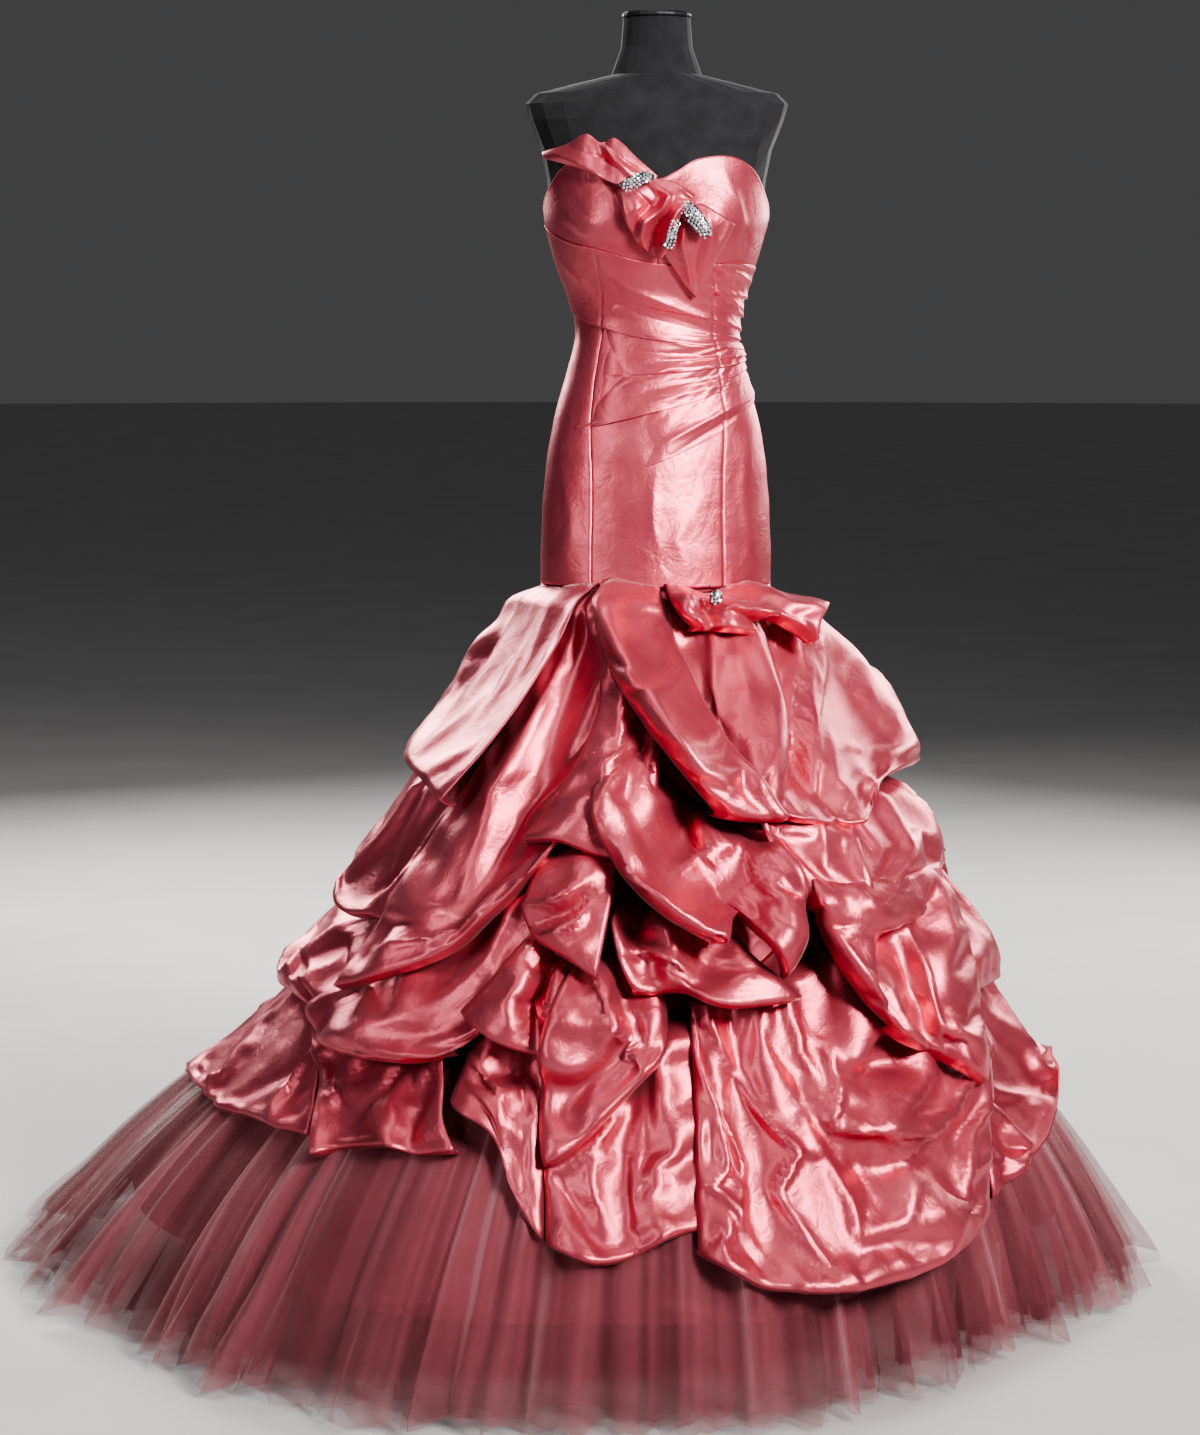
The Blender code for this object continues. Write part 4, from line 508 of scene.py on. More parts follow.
def fold_net(folds, columns, rows):
    """Angle, height and rise over a panel, rows down and columns across its folds."""
    folds = np.array(folds, float).reshape(len(folds), 3, 3)
    t = np.linspace(0, 1, rows)[:, None, None]
    lines = (folds[None, :, 0] * (1 - t) * (1 - 2 * t) + folds[None, :, 1] * 4 * t * (1 - t)
             + folds[None, :, 2] * t * (2 * t - 1))
    s = np.linspace(0, len(folds) - 1, columns)
    return np.stack([hermite(np.arange(len(folds)), line, s) for line in lines])


def swag_folds(first, last, top, foot_end, foot_middle, belly, lean):
    """Folds of a swag behind, caught up at both ends."""
    folds = []
    for part, share in zip(np.linspace(0, 1, len(SWAG_DEPTHS)), SWAG_DEPTHS):
        sag = math.sin(math.pi * part ** lean)
        angle = first + (last - first) * part
        foot = foot_end + (foot_middle - foot_end) * sag
        folds.append((angle, top, 0.01, angle, (top + foot) / 2, belly * share,
                      angle, foot, (belly - 0.01) * share))
    return folds


# ---------------------------------------------------------------- the surfaces that cloth lies on
def outward(angle):
    turn = np.radians(angle)
    return np.stack([np.sin(turn), -np.cos(turn), np.zeros_like(turn)], axis=-1)


def bust(angle, height):
    """Share by which the bust stands out in front of the body's depth."""
    level = np.exp(-((height - 1.500) / 0.060) ** 2)
    cup = 0.10 * np.exp(-((np.abs(angle) - 36) / 20) ** 2)
    dip = 0.06 * np.exp(-(angle / 14) ** 2)
    return level * (cup - dip)


def body_base(angle, height):
    """Points on the fitted body, and the directions out of it."""
    angle = wrapped(angle)
    out = outward(angle)
    depth = np.where(out[..., 1] < 0, column(BODY, 2, height), column(BODY, 3, height))
    depth = depth * (1 + bust(angle, height))
    return np.stack([column(BODY, 1, height) * out[..., 0], depth * out[..., 1], height], axis=-1), out


def skirt_base(angle, height):
    """Points on the skirt's cone, and the directions out of it."""
    out = outward(angle)
    front = (1 + np.cos(np.radians(angle))) / 2
    narrow = OVAL_BACK + (OVAL_FRONT - OVAL_BACK) * front
    depth = 1 + (narrow - 1) * smoothstep(ROUND_SKIRT, OVAL_TOP, height)
    train = np.maximum(0, 1 - height / TRAIN_HEIGHT) ** TRAIN_POWER
    radius = column(CONE, 1, height) + (column(HEM, 1, wrapped(angle)) - CONE[0][1]) * train
    return np.stack([radius * out[..., 0], radius * depth * out[..., 1], height], axis=-1), out


# ---------------------------------------------------------------- cloth
class Layers:
    """All the cloth made so far, as one tree of faces that later cloth is laid over."""

    def __init__(self):
        self.points, self.faces, self.tree = [], [], None

    def add(self, points, faces):
        start = len(self.points)
        self.points += [tuple(p) for p in points]
        self.faces += [tuple(start + i for i in face) for face in faces]
        self.tree = BVHTree.FromPolygons(self.points, self.faces)

    def add_node(self, name):
        """Count a CAD solid among what cloth is laid over."""
        node = bpy.data.objects[name]
        points = [node.matrix_world @ v.co for v in node.data.vertices]
        self.add(points, [tuple(face.vertices) for face in node.data.polygons])

    def room(self, points, outs):
        """How far each point stands out of the outermost cloth under it."""
        found = np.full(points.shape[:-1], REACH)
        for index in np.ndindex(found.shape):
            way = Vector(outs[index])
            hit = self.tree.ray_cast(Vector(points[index]) + way * REACH, -way, 2 * REACH)
            if hit[0] is not None:
                found[index] = hit[3] - REACH
        return found


layers = Layers()


def wide_net(field, closed=False):
    """A field with one more place on each side, and its four neighbours' fields."""
    wide = np.pad(field, 1, mode="edge")
    if closed:
        wide[:, 0], wide[:, -1] = wide[:, -2], wide[:, 1]
    return wide[1:-1, 1:-1], wide[:-2, 1:-1], wide[2:, 1:-1], wide[1:-1, :-2], wide[1:-1, 2:]


def smooth(field, times, closed=False):
    for _ in range(times):
        here, above, below, left, right = wide_net(field, closed)
        field = (here * 4 + above + below + left + right) / 8
    return field


def shortfall(points, out, gap, soften=3, closed=False):
    """How far a net must rise to be clear of what lies under it, with soft shoulders, if at all."""
    short = np.maximum(0, gap - layers.room(points, out))
    if short.max() < 1e-4:
        return None
    wide = short
    for _ in range(2):
        wide = np.maximum.reduce(wide_net(wide))
    return np.maximum(short, smooth(wide, soften, closed))


def lift_clear(base, out, rise, gap, passes=2, soften=3, closed=False):
    """Raise a net of cloth until it is clear."""
    for _ in range(passes):
        short = shortfall(base + out * rise[..., None], out, gap, soften, closed)
        if short is None:
            break
        rise = rise + short
    return rise


def grid_faces(rows, columns, closed=False):
    faces = []
    for i in range(rows - 1):
        for j in range(columns if closed else columns - 1):
            k = (j + 1) % columns
            faces.append((i * columns + j, (i + 1) * columns + j, (i + 1) * columns + k, i * columns + k))
    return faces


def new_object(name, points, faces, material=None, smooth_shade=True):
    mesh = bpy.data.meshes.new(name)
    mesh.from_pydata([tuple(p) for p in np.asarray(points).reshape(-1, 3)], [], faces)
    mesh.update()
    if smooth_shade:
        mesh.shade_smooth()
    made = bpy.data.objects.new(name, mesh)
    bpy.context.scene.collection.objects.link(made)
    if material:
        mesh.materials.append(material)
    return made


def arc(points, axis):
    """Mean length of a net's lines along one axis."""
    steps = np.linalg.norm(np.diff(points, axis=axis), axis=-1)
    return float(steps.sum(axis=axis).mean())


def run(points, axis):
    """How far each point lies along its line of the net."""
    steps = np.linalg.norm(np.diff(points, axis=axis), axis=-1)
    return np.concatenate([np.zeros_like(steps.take([0], axis)), np.cumsum(steps, axis=axis)], axis=axis)


def cloth_piece(name, points, material, nodes, closed=False, shell=SHELL):
    """A sheet on a net of points: its object, its wall and its place in the stack."""
    faces = grid_faces(*points.shape[:2], closed)
    piece = new_object("cloth_" + name, points, faces, material)
    if shell:
        wall = piece.modifiers.new("Wall", "SOLIDIFY")
        wall.thickness, wall.offset = shell, 0
    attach(piece, "root")
    if nodes:
        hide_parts(*nodes)
    layers.add(points.reshape(-1, 3), faces)
    return piece


# ---------------------------------------------------------------- materials
class Paint:
    """A material that is being mixed: its nodes, the object's coordinates and the shader."""

    def __init__(self, name):
        self.made = bpy.data.materials.new(name)
        self.made.use_nodes = True
        self.tree = self.made.node_tree
        self.coords = self.node("TexCoord").outputs["Object"]

    def set(self, node, values, sources):
        for name, value in values.items():
            node.inputs[name].default_value = value
        for name, source in sources.items():
            self.tree.links.new(source, node.inputs[name])

    def node(self, kind, values={}, sources={}, **traits):
        made = self.tree.nodes.new("ShaderNode" + kind)
        for name, value in traits.items():
            setattr(made, name, value)
        self.set(made, values, sources)
        return made

    def texture(self, kind, values, output="Fac", **traits):
        return self.node("Tex" + kind, values, {"Vector": self.coords}, **traits).outputs[output]

    def noise(self, scale, detail=3.0, roughness=0.5, distortion=0.0, **traits):
        values = {"Scale": scale, "Detail": detail, "Roughness": roughness, "Distortion": distortion}
        return self.texture("Noise", values, **traits)

    def ramp(self, source, *stops):
        made = self.node("ValToRGB", {}, {"Fac": source})
        elements = made.color_ramp.elements
        for element, (position, colour) in ((elements[0], stops[0]), (elements[1], stops[-1])):
            element.position, element.color = position, (*colour, 1)
        for position, colour in stops[1:-1]:
            elements.new(position).color = (*colour, 1)
        return made.outputs["Color"]

    def span(self, source, to_low, to_high, low=0.0, high=1.0):
        values = {"From Min": low, "From Max": high, "To Min": to_low, "To Max": to_high}
        return self.node("MapRange", values, {"Value": source}).outputs["Result"]

    def math(self, operation, values, sources, **traits):
        return self.node("Math", values, sources, operation=operation, **traits).outputs[0]

    def bumps(self, *reliefs):
        """Reliefs on one another: height, distance and strength of each."""
        normal = None
        for height, distance, strength in reliefs:
            sources = {"Height": height} | ({} if normal is None else {"Normal": normal})
            made = self.node("Bump", {"Distance": distance, "Strength": strength}, sources)
            normal = made.outputs["Normal"]
        return normal

    def finish(self, values, sources):
        self.set(self.tree.nodes["Principled BSDF"], values, sources)
        return self.made


def satin_material(name, crease):
    """Duchess satin: a pink warp under a pale sheen, with a fine slanting weave."""
    paint = Paint(name)
    ridges = paint.noise(7.5, distortion=0.9, noise_type="RIDGED_MULTIFRACTAL")
    weave = paint.texture("Wave", {"Scale": 380.0, "Distortion": 2.5}, bands_direction="DIAGONAL")
    return paint.finish({
        "Metallic": 0.68, "Specular IOR Level": 0.85, "Specular Tint": (1.0, 0.86, 0.88, 1),
        "Sheen Weight": 0.15, "Sheen Roughness": 0.35, "Sheen Tint": (1.0, 0.74, 0.78, 1),
    }, {
        "Base Color": paint.ramp(paint.noise(9.0, 5.0), (0.30, (0.52, 0.092, 0.122)),
                                 (0.70, (0.66, 0.148, 0.185))),
        "Roughness": paint.span(paint.noise(30.0, 4.0), 0.27, 0.46),
        "Normal": paint.bumps((ridges, 0.0120, crease), (paint.noise(34.0, 5.0, 0.60, 0.8), 0.0030, 0.50),
                              (paint.noise(260.0, 3.0, 0.6), 0.0004, 0.45), (weave, 0.00015, 0.45)),
    })


def tulle_material(name, alpha_low, alpha_high, colour):
    """Fine net that covers more where its folds stand on edge; its colour is painted darker, as shade, where
    the net is sparse and paler, as sheen, where it is thick.
    """
    paint = Paint(name)
    net = paint.texture("Voronoi", {"Scale": 640.0}, "Distance", feature="DISTANCE_TO_EDGE")
    fold = paint.node("Attribute", attribute_name="fold").outputs["Fac"]
    # How thick the net is: it sets the net's cover, and also the painted shade and painted sheen of its
    # colour.
    density_and_sheen = paint.math("MULTIPLY_ADD", {1: 0.35}, {0: paint.noise(9.0), 2: fold})
    cover = {0: paint.span(density_and_sheen, alpha_low, alpha_high), 1: paint.span(net, 0.015, -0.005, 0.02, 0.14)}
    # Painted shade for sparse net and painted sheen for thick net.
    deep = [channel * 0.72 for channel in colour]
    pale = [channel + 0.22 * (1 - channel) for channel in colour]
    return paint.finish({
        "Roughness": 0.75, "Sheen Weight": 0.5, "Sheen Tint": (1.0, 0.72, 0.72, 1),
    }, {
        "Base Color": paint.ramp(density_and_sheen, (0.35, deep), (0.70, colour), (1.00, pale)),
        "Alpha": paint.math("ADD", {}, cover, use_clamp=True),
    })


def jersey_material():
    paint = Paint("black_jersey")
    knit = paint.texture("Wave", {"Scale": 260.0, "Distortion": 2.0, "Detail Scale": 3.0},
                         bands_direction="X")
    colour = paint.ramp(paint.noise(40.0, 4.0), (0.3, (0.006, 0.006, 0.007)), (0.7, (0.014, 0.014, 0.016)))
    return paint.finish({"Roughness": 0.88, "Sheen Weight": 0.15},
                        {"Base Color": colour, "Normal": paint.bumps((knit, 0.0003, 0.5))})


def hard_material(name, dark, light, roughness, metallic, scale):
    paint = Paint(name)
    tone = paint.noise(scale, 5.0)
    return paint.finish({"Metallic": metallic}, {
        "Base Color": paint.ramp(tone, (0.35, dark), (0.65, light)),
        "Roughness": paint.span(tone, roughness * 0.75, roughness * 1.25),
        "Normal": paint.bumps((tone, 0.0002, 0.3)),
    })


SATIN = satin_material("satin_coral", 0.55)
FITTED_SATIN = satin_material("satin_fitted", 0.12)
TULLE_OUTER = tulle_material("tulle_rose", 0.02, 0.56, (0.40, 0.100, 0.125))
TULLE_INNER = tulle_material("tulle_deep", 0.05, 0.62, (0.27, 0.055, 0.072))
JERSEY = jersey_material()
LACQUER = hard_material("black_lacquer", (0.008, 0.008, 0.009), (0.014, 0.014, 0.016), 0.55, 0.0, 18.0)
STEEL = hard_material("satin_steel", (0.30, 0.30, 0.31), (0.42, 0.42, 0.44), 0.34, 1.0, 60.0)
STONE = hard_material("rhinestone", (0.62, 0.64, 0.68), (1.0, 1.0, 1.0), 0.05, 0.72, 400.0)
SETTING = hard_material("silver_setting", (0.10, 0.10, 0.11), (0.30, 0.30, 0.32), 0.30, 1.0, 120.0)

# ---------------------------------------------------------------- stage, light and camera
FLOOR_RADIUS = 40
FLOOR_DROP = 0.0006          # under the gown's lowest point
ROOM_LIGHT, ROOM_STRENGTH = (0.80, 0.80, 0.82, 1), 0.10
# Softboxes: name, place, size, power, spread, the height they point at, colour.
SOFTBOXES = [
    ("key", (2.1, -3.2, 2.6), 0.9, 52.0, 1.3, 1.32, (1.0, 0.97, 0.97)),
    ("fill", (-3.2, -2.8, 2.0), 1.2, 40.0, math.pi, 0.8, (0.97, 0.98, 1.0)),
    ("top", (-0.3, -0.6, 4.2), 1.6, 28.0, math.pi, 0.8, (1.0, 1.0, 1.0)),
    ("back_left", (-1.6, 3.6, 2.5), 1.6, 115.0, math.pi, 0.8, (1.0, 0.98, 0.96)),
    ("back_right", (2.3, 3.3, 2.1), 1.6, 85.0, math.pi, 0.8, (1.0, 0.98, 0.96)),
]


def stage_and_light():
    bpy.ops.mesh.primitive_circle_add(vertices=96, radius=FLOOR_RADIUS, fill_type="NGON",
                                      location=(0, 0, -FLOOR_DROP))
    floor = bpy.context.object
    floor.name = "floor"
    paint = Paint("pale_floor")
    colour = paint.ramp(paint.noise(3.0), (0.3, (0.60, 0.59, 0.58)), (0.7, (0.64, 0.63, 0.62)))
    floor.data.materials.append(paint.finish({"Roughness": 0.7}, {"Base Color": colour}))
    world = bpy.data.worlds.new("studio")
    world.use_nodes = True
    room = world.node_tree.nodes["Background"].inputs
    room["Color"].default_value, room["Strength"].default_value = ROOM_LIGHT, ROOM_STRENGTH
    bpy.context.scene.world = world
    for name, place, size, power, spread, aim, colour in SOFTBOXES:
        lamp = bpy.data.lights.new(name, "AREA")
        lamp.size, lamp.energy, lamp.color, lamp.spread = size, power, colour, spread
        turn = (Vector((0, 0, aim)) - Vector(place)).to_track_quat("-Z", "Y").to_euler()
        put(name, lamp, place, turn)


def put(name, data, place, turn):
    made = bpy.data.objects.new(name, data)
    made.location, made.rotation_euler = place, turn
    bpy.context.scene.collection.objects.link(made)
    return made


def camera():
    lens = bpy.data.cameras.new("camera")
    lens.lens, lens.sensor_width = CAMERA_LENS, SENSOR
    bpy.context.scene.camera = put("camera", lens, CAMERA_PLACE, (math.pi / 2 - CAMERA_TILT, 0, 0))


# ---------------------------------------------------------------- creases
def photo_place(points):
    """Where points of the gown lie in the photograph, in its pixels."""
    away = points - np.array(CAMERA_PLACE)
    ahead = away[..., 1] * math.cos(CAMERA_TILT) - away[..., 2] * math.sin(CAMERA_TILT)
    up = away[..., 1] * math.sin(CAMERA_TILT) + away[..., 2] * math.cos(CAMERA_TILT)
    focal = CAMERA_LENS / SENSOR * PIXELS_HIGH
    return np.stack([PHOTO_CENTRE[0] + focal * away[..., 0] / ahead,
                     PHOTO_CENTRE[1] - focal * up / ahead], axis=-1)


def crease_height(lines, points, outs, scale=1.0):
    """Height of a piece's main creases at its points, in metres. They run down to a third at the ends."""
    place = photo_place(points)
    total = np.zeros(place.shape[:-1])
    for height, width, *line in lines:
        ends = np.array(line, float).reshape(-1, 2)
        lengths = np.linalg.norm(np.diff(ends, axis=0), axis=-1)
        starts = np.concatenate([[0], np.cumsum(lengths)])
        nearest = np.full(place.shape[:-1], 1e9)
        along = np.zeros(place.shape[:-1])
        for k, length in enumerate(lengths):
            way = (ends[k + 1] - ends[k]) / length
            ahead = np.clip((place - ends[k]) @ way, 0, length)
            far = np.linalg.norm(place - ends[k] - ahead[..., None] * way, axis=-1)
            closer = far < nearest
            nearest = np.where(closer, far, nearest)
            along = np.where(closer, (starts[k] + ahead) / starts[-1], along)
        strength = 0.35 + 0.65 * np.sin(math.pi * along)
        total += scale * height / 1000 * strength * np.exp(-(nearest * PIXEL / width) ** 1.5)
    return np.where(outs[..., 1] < 0.15, total, 0.0)


def crumple(name, across, down):
    """Height of a panel's lesser creases, in metres, over its own width and length."""
    seed = sum(ord(letter) * (i + 1) for i, letter in enumerate(name)) % 997
    field = np.zeros_like(across)

    def ridged(x, y, z):
        """Noise with crisp crests."""
        return 1 - 3.2 * abs(noise.noise(Vector((x, y, z))))

    for index in np.ndindex(across.shape):
        a, d = across[index], down[index]
        sway = 0.05 * noise.noise(Vector((a * 2, d * 2, seed)))
        long_fold = ridged((a + sway) / 0.085, d / 0.50, seed + 3.1)
        slant = ridged((a + d * 0.55) / 0.075, (d - a * 0.4) / 0.24, seed + 7.7)
        small = noise.noise(Vector((a / 0.030, d / 0.060, seed + 13.3)))
        field[index] = LONG * long_fold + SLANT * slant + SMALL * small
    return field


# ---------------------------------------------------------------- folds of the overskirt
BACK_ROLL = 0.035            # how much further the side edges turn down behind
ROLL_WIDTH = 0.012           # how far in from the edge the turn begins, beyond its own depth
TURNED_HEM = ((0.002, 0.003), (0.006, 0.009), (0.009, 0.018), (0.007, 0.028))   # down and inwards
CAUGHT_ROWS = 4              # rows at the top that are brought down to the cloth below
NET_SPACING = 0.0085         # side of a square of a panel's net
LONG, SLANT, SMALL = 0.0052, 0.0030, 0.0012     # heights of the lesser creases
LOOSE, RIB_HOLD, HEM_HOLD, SIDE_HOLD = 0.03, 0.12, 0.6, 0.8     # how firmly a panel's parts are held
FRAMES = 24                  # steps of the cloth's settling
DRIFT = 0.032                # furthest that a point may move in it
CLOTH = {
    "quality": 5, "mass": 0.12, "tension_stiffness": 20, "compression_stiffness": 20,
    "shear_stiffness": 8, "bending_stiffness": 5.0, "bending_damping": 1.0, "air_damping": 6,
    "vertex_group_mass": "held", "pin_stiffness": 1.0,
}


class Panel:
    """One picked-up panel of satin: its net, its creases and its settled shape."""

    def __init__(self, name, folds, amount=0.45, growth=0.075, roll=0.006):
        self.name, self.growth, self.roll, self.folds = name, growth, roll, len(folds)
        points, _ = self.net(folds, 12, 12)
        self.columns = int(np.clip(arc(points, 1) / NET_SPACING, 20, 110))
        self.rows = int(np.clip(arc(points, 0) / NET_SPACING, 18, 70))
        points, self.out = self.net(folds, self.columns, self.rows)
        across, self.down = run(points, 1), run(points, 0)
        self.side = np.minimum(across, across[:, -1:] - across)
        _, self.t = places(self.rows, self.columns)
        lift = crumple(name, across, self.down) * amount * smoothstep(0.0, 0.10, self.t)
        lift = lift + crease_height(CREASES.get(name, []), points, self.out, CREASE_SCALE)
        self.points = points + self.out * lift[..., None]

    def net(self, folds, columns, rows):
        net = fold_net(folds, columns, rows)
        base, out = skirt_base(net[..., 0], net[..., 1])
        return base + out * (SATIN_RISE + net[..., 2])[..., None], out

    def pins(self):
        """How firmly each point is held: the catch line at the top, the folds and the hem."""
        s = np.linspace(0, self.folds - 1, self.columns)[None, :]
        rib = np.exp(-((s - np.round(s)) / 0.12) ** 2)
        hold = np.maximum(LOOSE * np.ones((self.rows, self.columns)), RIB_HOLD * rib)
        hold = np.maximum(hold, np.exp(-self.t / 0.03))
        hold = np.maximum(hold, HEM_HOLD * np.exp(-(1 - self.t) / 0.03))
        return np.maximum(hold, SIDE_HOLD * np.exp(-self.side / 0.010))

    def start(self):
        """A cloth of the panel's shape, cut a little larger than its place."""
        self.sim = new_object("settling", self.points, grid_faces(self.rows, self.columns),
                              smooth_shade=False)
        group = self.sim.vertex_groups.new(name="held")
        for i, weight in enumerate(self.pins().ravel()):
            group.add([i], float(weight), "REPLACE")
        cloth = self.sim.modifiers.new("Cloth", "CLOTH")
        for name, value in CLOTH.items():
            setattr(cloth.settings, name, value)
        cloth.settings.shrink_min = -self.growth
        cloth.settings.effector_weights.gravity = 0.5
        cloth.collision_settings.use_collision = False
        cloth.collision_settings.use_self_collision = False
        cloth.point_cache.frame_start, cloth.point_cache.frame_end = 1, FRAMES

    def take(self):
        """Read the settled shape and drop the cloth. Near the edges only the smooth move is kept."""
        evaluated = self.sim.evaluated_get(bpy.context.evaluated_depsgraph_get())
        settled = np.empty(len(evaluated.data.vertices) * 3, np.float32)
        evaluated.data.vertices.foreach_get("co", settled)
        move = settled.reshape(self.points.shape).astype(float) - self.points
        edge = np.minimum(self.side, self.down[-1:] - self.down)[..., None]
        calm = np.stack([smooth(move[..., axis], 14) for axis in range(3)], axis=-1)
        move = calm + (move - calm) * smoothstep(0.004, 0.030, edge)
        far = np.linalg.norm(move, axis=-1, keepdims=True)
        self.points = self.points + move * (DRIFT * np.tanh(far / DRIFT) / np.maximum(far, 1e-9))
        bpy.data.objects.remove(self.sim, do_unlink=True)

    def lay(self):
        """Lay the panel over the cloth under it, turn its edges and hem, and make its object."""
        out = self.out
        roll = self.roll + BACK_ROLL * smoothstep(0.0, 0.4, out[..., 1])
        near = np.clip(1 - self.side / (ROLL_WIDTH + roll), 0, 1)
        points = self.points - out * (roll * (1 - np.sqrt(np.maximum(0, 1 - near ** 2))))[..., None]
        for _ in range(2):
            short = shortfall(points, out, LAYER_GAP)
            if short is None:
                break
            points = points + out * short[..., None]
        top, way = points[:CAUGHT_ROWS], out[:CAUGHT_ROWS]
        part = np.linspace(1, 0, CAUGHT_ROWS + 1)[:-1, None] ** 1.5
        fall = np.maximum(0, layers.room(top, way) - SEAT_GAP) * part
        points[:CAUGHT_ROWS] = top - way * fall[..., None]
        foot, way, down = points[-1:], out[-1:], np.array([0, 0, -1.0])
        turned = [foot - way * inwards + down * drop for drop, inwards in TURNED_HEM]
        cloth_piece(self.name, np.concatenate([points, *turned]), SATIN,
                    [self.name])


def settle(panels):
    """Let all the panels buckle together, as cloth that is larger than the room it has."""
    for panel in panels:
        panel.start()
    for frame_number in range(1, FRAMES + 1):
        bpy.context.scene.frame_set(frame_number)
    for panel in panels:
        panel.take()


def metres(folds, units):
    return np.array(folds, float) / np.tile(units, 3)


def overskirt():
    panels = [Panel(name, swag_folds(*sizes), amount=1.0) for name, *sizes in BACK_SWAGS]
    panels += [Panel(name, metres(folds, FOLD_UNITS), **SMOOTHER.get(name, {}))
               for name, folds in SATIN_PANELS.items()]
    panels += [Panel(name, metres(folds, FOLD_UNITS), amount=0.2, growth=0.03)
               for name, folds in HIP_BOW.items()]
    settle(panels)
    for panel in panels:
        panel.lay()


# ---------------------------------------------------------------- bodice
SEAM_GAP = 0.0018            # between the gores and the cups, on each side of the seam
GORE_NET, CUP_NET, BOW_NET = (110, 26), (50, 70), (50, 60)     # rows and columns
CENTRE_COLUMNS = 80
GORE_RISE, CUP_RISE = 0.0012, 0.0014
STRIP_RISE, STRIP_GAIN = 0.0026, 0.0018     # at a strip's top, and what it gains down to its foot
EDGE_RISE = 0.0006           # how much the upper edges of cups and strips stand up
GORE_WRINKLE, STRIP_WRINKLE = 0.0010, 0.0030
GORE_INSET = 0.0002          # between a gore's edge and the seam
CUP_INSET = 0.12             # the same for the cups, in degrees
STRIP_GAP, BOW_GAP = 0.0008, 0.0016     # of a draped strip and the bow over what they lie on
SEAM_DIP, STRIP_DIP = 0.0007, 0.0011        # along the seams, and in the strips over them
TUCKED = -0.0012             # where a strip runs out under the bodice
PULL = (0.118, 1.345)        # place across and height that the soft wrinkles run out from
# Gores: name, edges, the angle that the princess seams are counted from, top line, columns. An edge
# of 1 or -1 is the princess seam on that side, and any other is an angle.
FRONT, BACK = table_line(UNDER_BUST, -SEAM_GAP), table_line(NECKLINE)
GORES = [
    ("gore_front_left_side", -90, -1, 0, FRONT, GORE_NET[1]),
    ("gore_front_centre", -1, 1, 0, FRONT, CENTRE_COLUMNS),
    ("gore_front_right_side", 1, 90, 0, FRONT, GORE_NET[1]),
    ("gore_back_right_side", 90, -1, 180, BACK, GORE_NET[1]),
    ("gore_back_right", -1, 180, 180, BACK, GORE_NET[1]),
    ("gore_back_left", 180, 1, 180, BACK, GORE_NET[1]),
    ("gore_back_left_side", 1, 270, 180, BACK, GORE_NET[1]),
]
# Draped strips: name, first and last angle, top and foot line, columns and rows, and the angles
# between which they come out from under the bodice.
STRIPS = [
    ("wrap_hip", -50, 86, HIGH_HIP_PLEAT, HIP_PLEAT, 150, 50, -16, 8),
    ("wrap_waist", -86, 86, WAIST_PLEAT, HIGH_HIP_PLEAT, 180, 90, -48, -26),
    ("wrap_midriff", -86, 86, UNDER_BUST, WAIST_PLEAT, 180, 90, -200, -180),
]


def lines_net(first, last, top, foot, columns, rows):
    """Angle, height and place down a net between two lines."""
    s, t = places(rows, columns)
    angle = first + (last - first) * s
    high, low = top(angle), foot(angle)
    return angle, high + (low - high) * t, t


def bodice_piece(name, angle, height, rise):
    base, out = body_base(angle, height)
    points = base + out * rise[..., None]
    lift = crease_height(BOW_CREASES.get(name, []), points, out)
    points = points + out * np.maximum(lift, -0.5 * rise)[..., None]
    cloth_piece(name, points, FITTED_SATIN, [name])


def gore_edge(code, around, height):
    if abs(code) == 1:
        return around + code * column(PRINCESS, 1, height)
    return np.full_like(height, float(code))


def gores():
    """The fitted gores, with slight wrinkles and a dip along each seam."""
    rows = GORE_NET[0]
    for name, left, right, around, top, columns in GORES:
        s = np.linspace(0, 1, columns)[None, :]
        t = np.linspace(1, 0, rows)[:, None]
        height = np.full((rows, columns), 1.2)
        for _ in range(3):
            a = gore_edge(left, around, height) * (1 - s) + gore_edge(right, around, height) * s
            height = TIER_SEAM + (top(a) - TIER_SEAM) * t
        inset = np.degrees(GORE_INSET / column(BODY, 1, height))
        a = ((gore_edge(left, around, height) + inset) * (1 - s)
             + (gore_edge(right, around, height) - inset) * s)
        base, _ = body_base(a, height)
        pull = np.array([[noise.noise(Vector((x * 14, z * 30, y * 14))) for x, y, z in row] for row in base])
        side = np.minimum(s, 1 - s) * (columns - 1)
        seam = -SEAM_DIP * np.exp(-(side / 0.9) ** 2)
        bodice_piece(name, a, height, GORE_RISE + GORE_WRINKLE * pull + seam)


def cups():
    rows, columns = CUP_NET
    for name, first, last in (("cup_left", -90, 0), ("cup_right", 0, 90)):
        a, h, t = lines_net(first + CUP_INSET, last - CUP_INSET, table_line(NECKLINE),
                            table_line(UNDER_BUST, SEAM_GAP), columns, rows)
        bodice_piece(name, a, h, CUP_RISE + EDGE_RISE * np.exp(-(t / 0.03) ** 2))


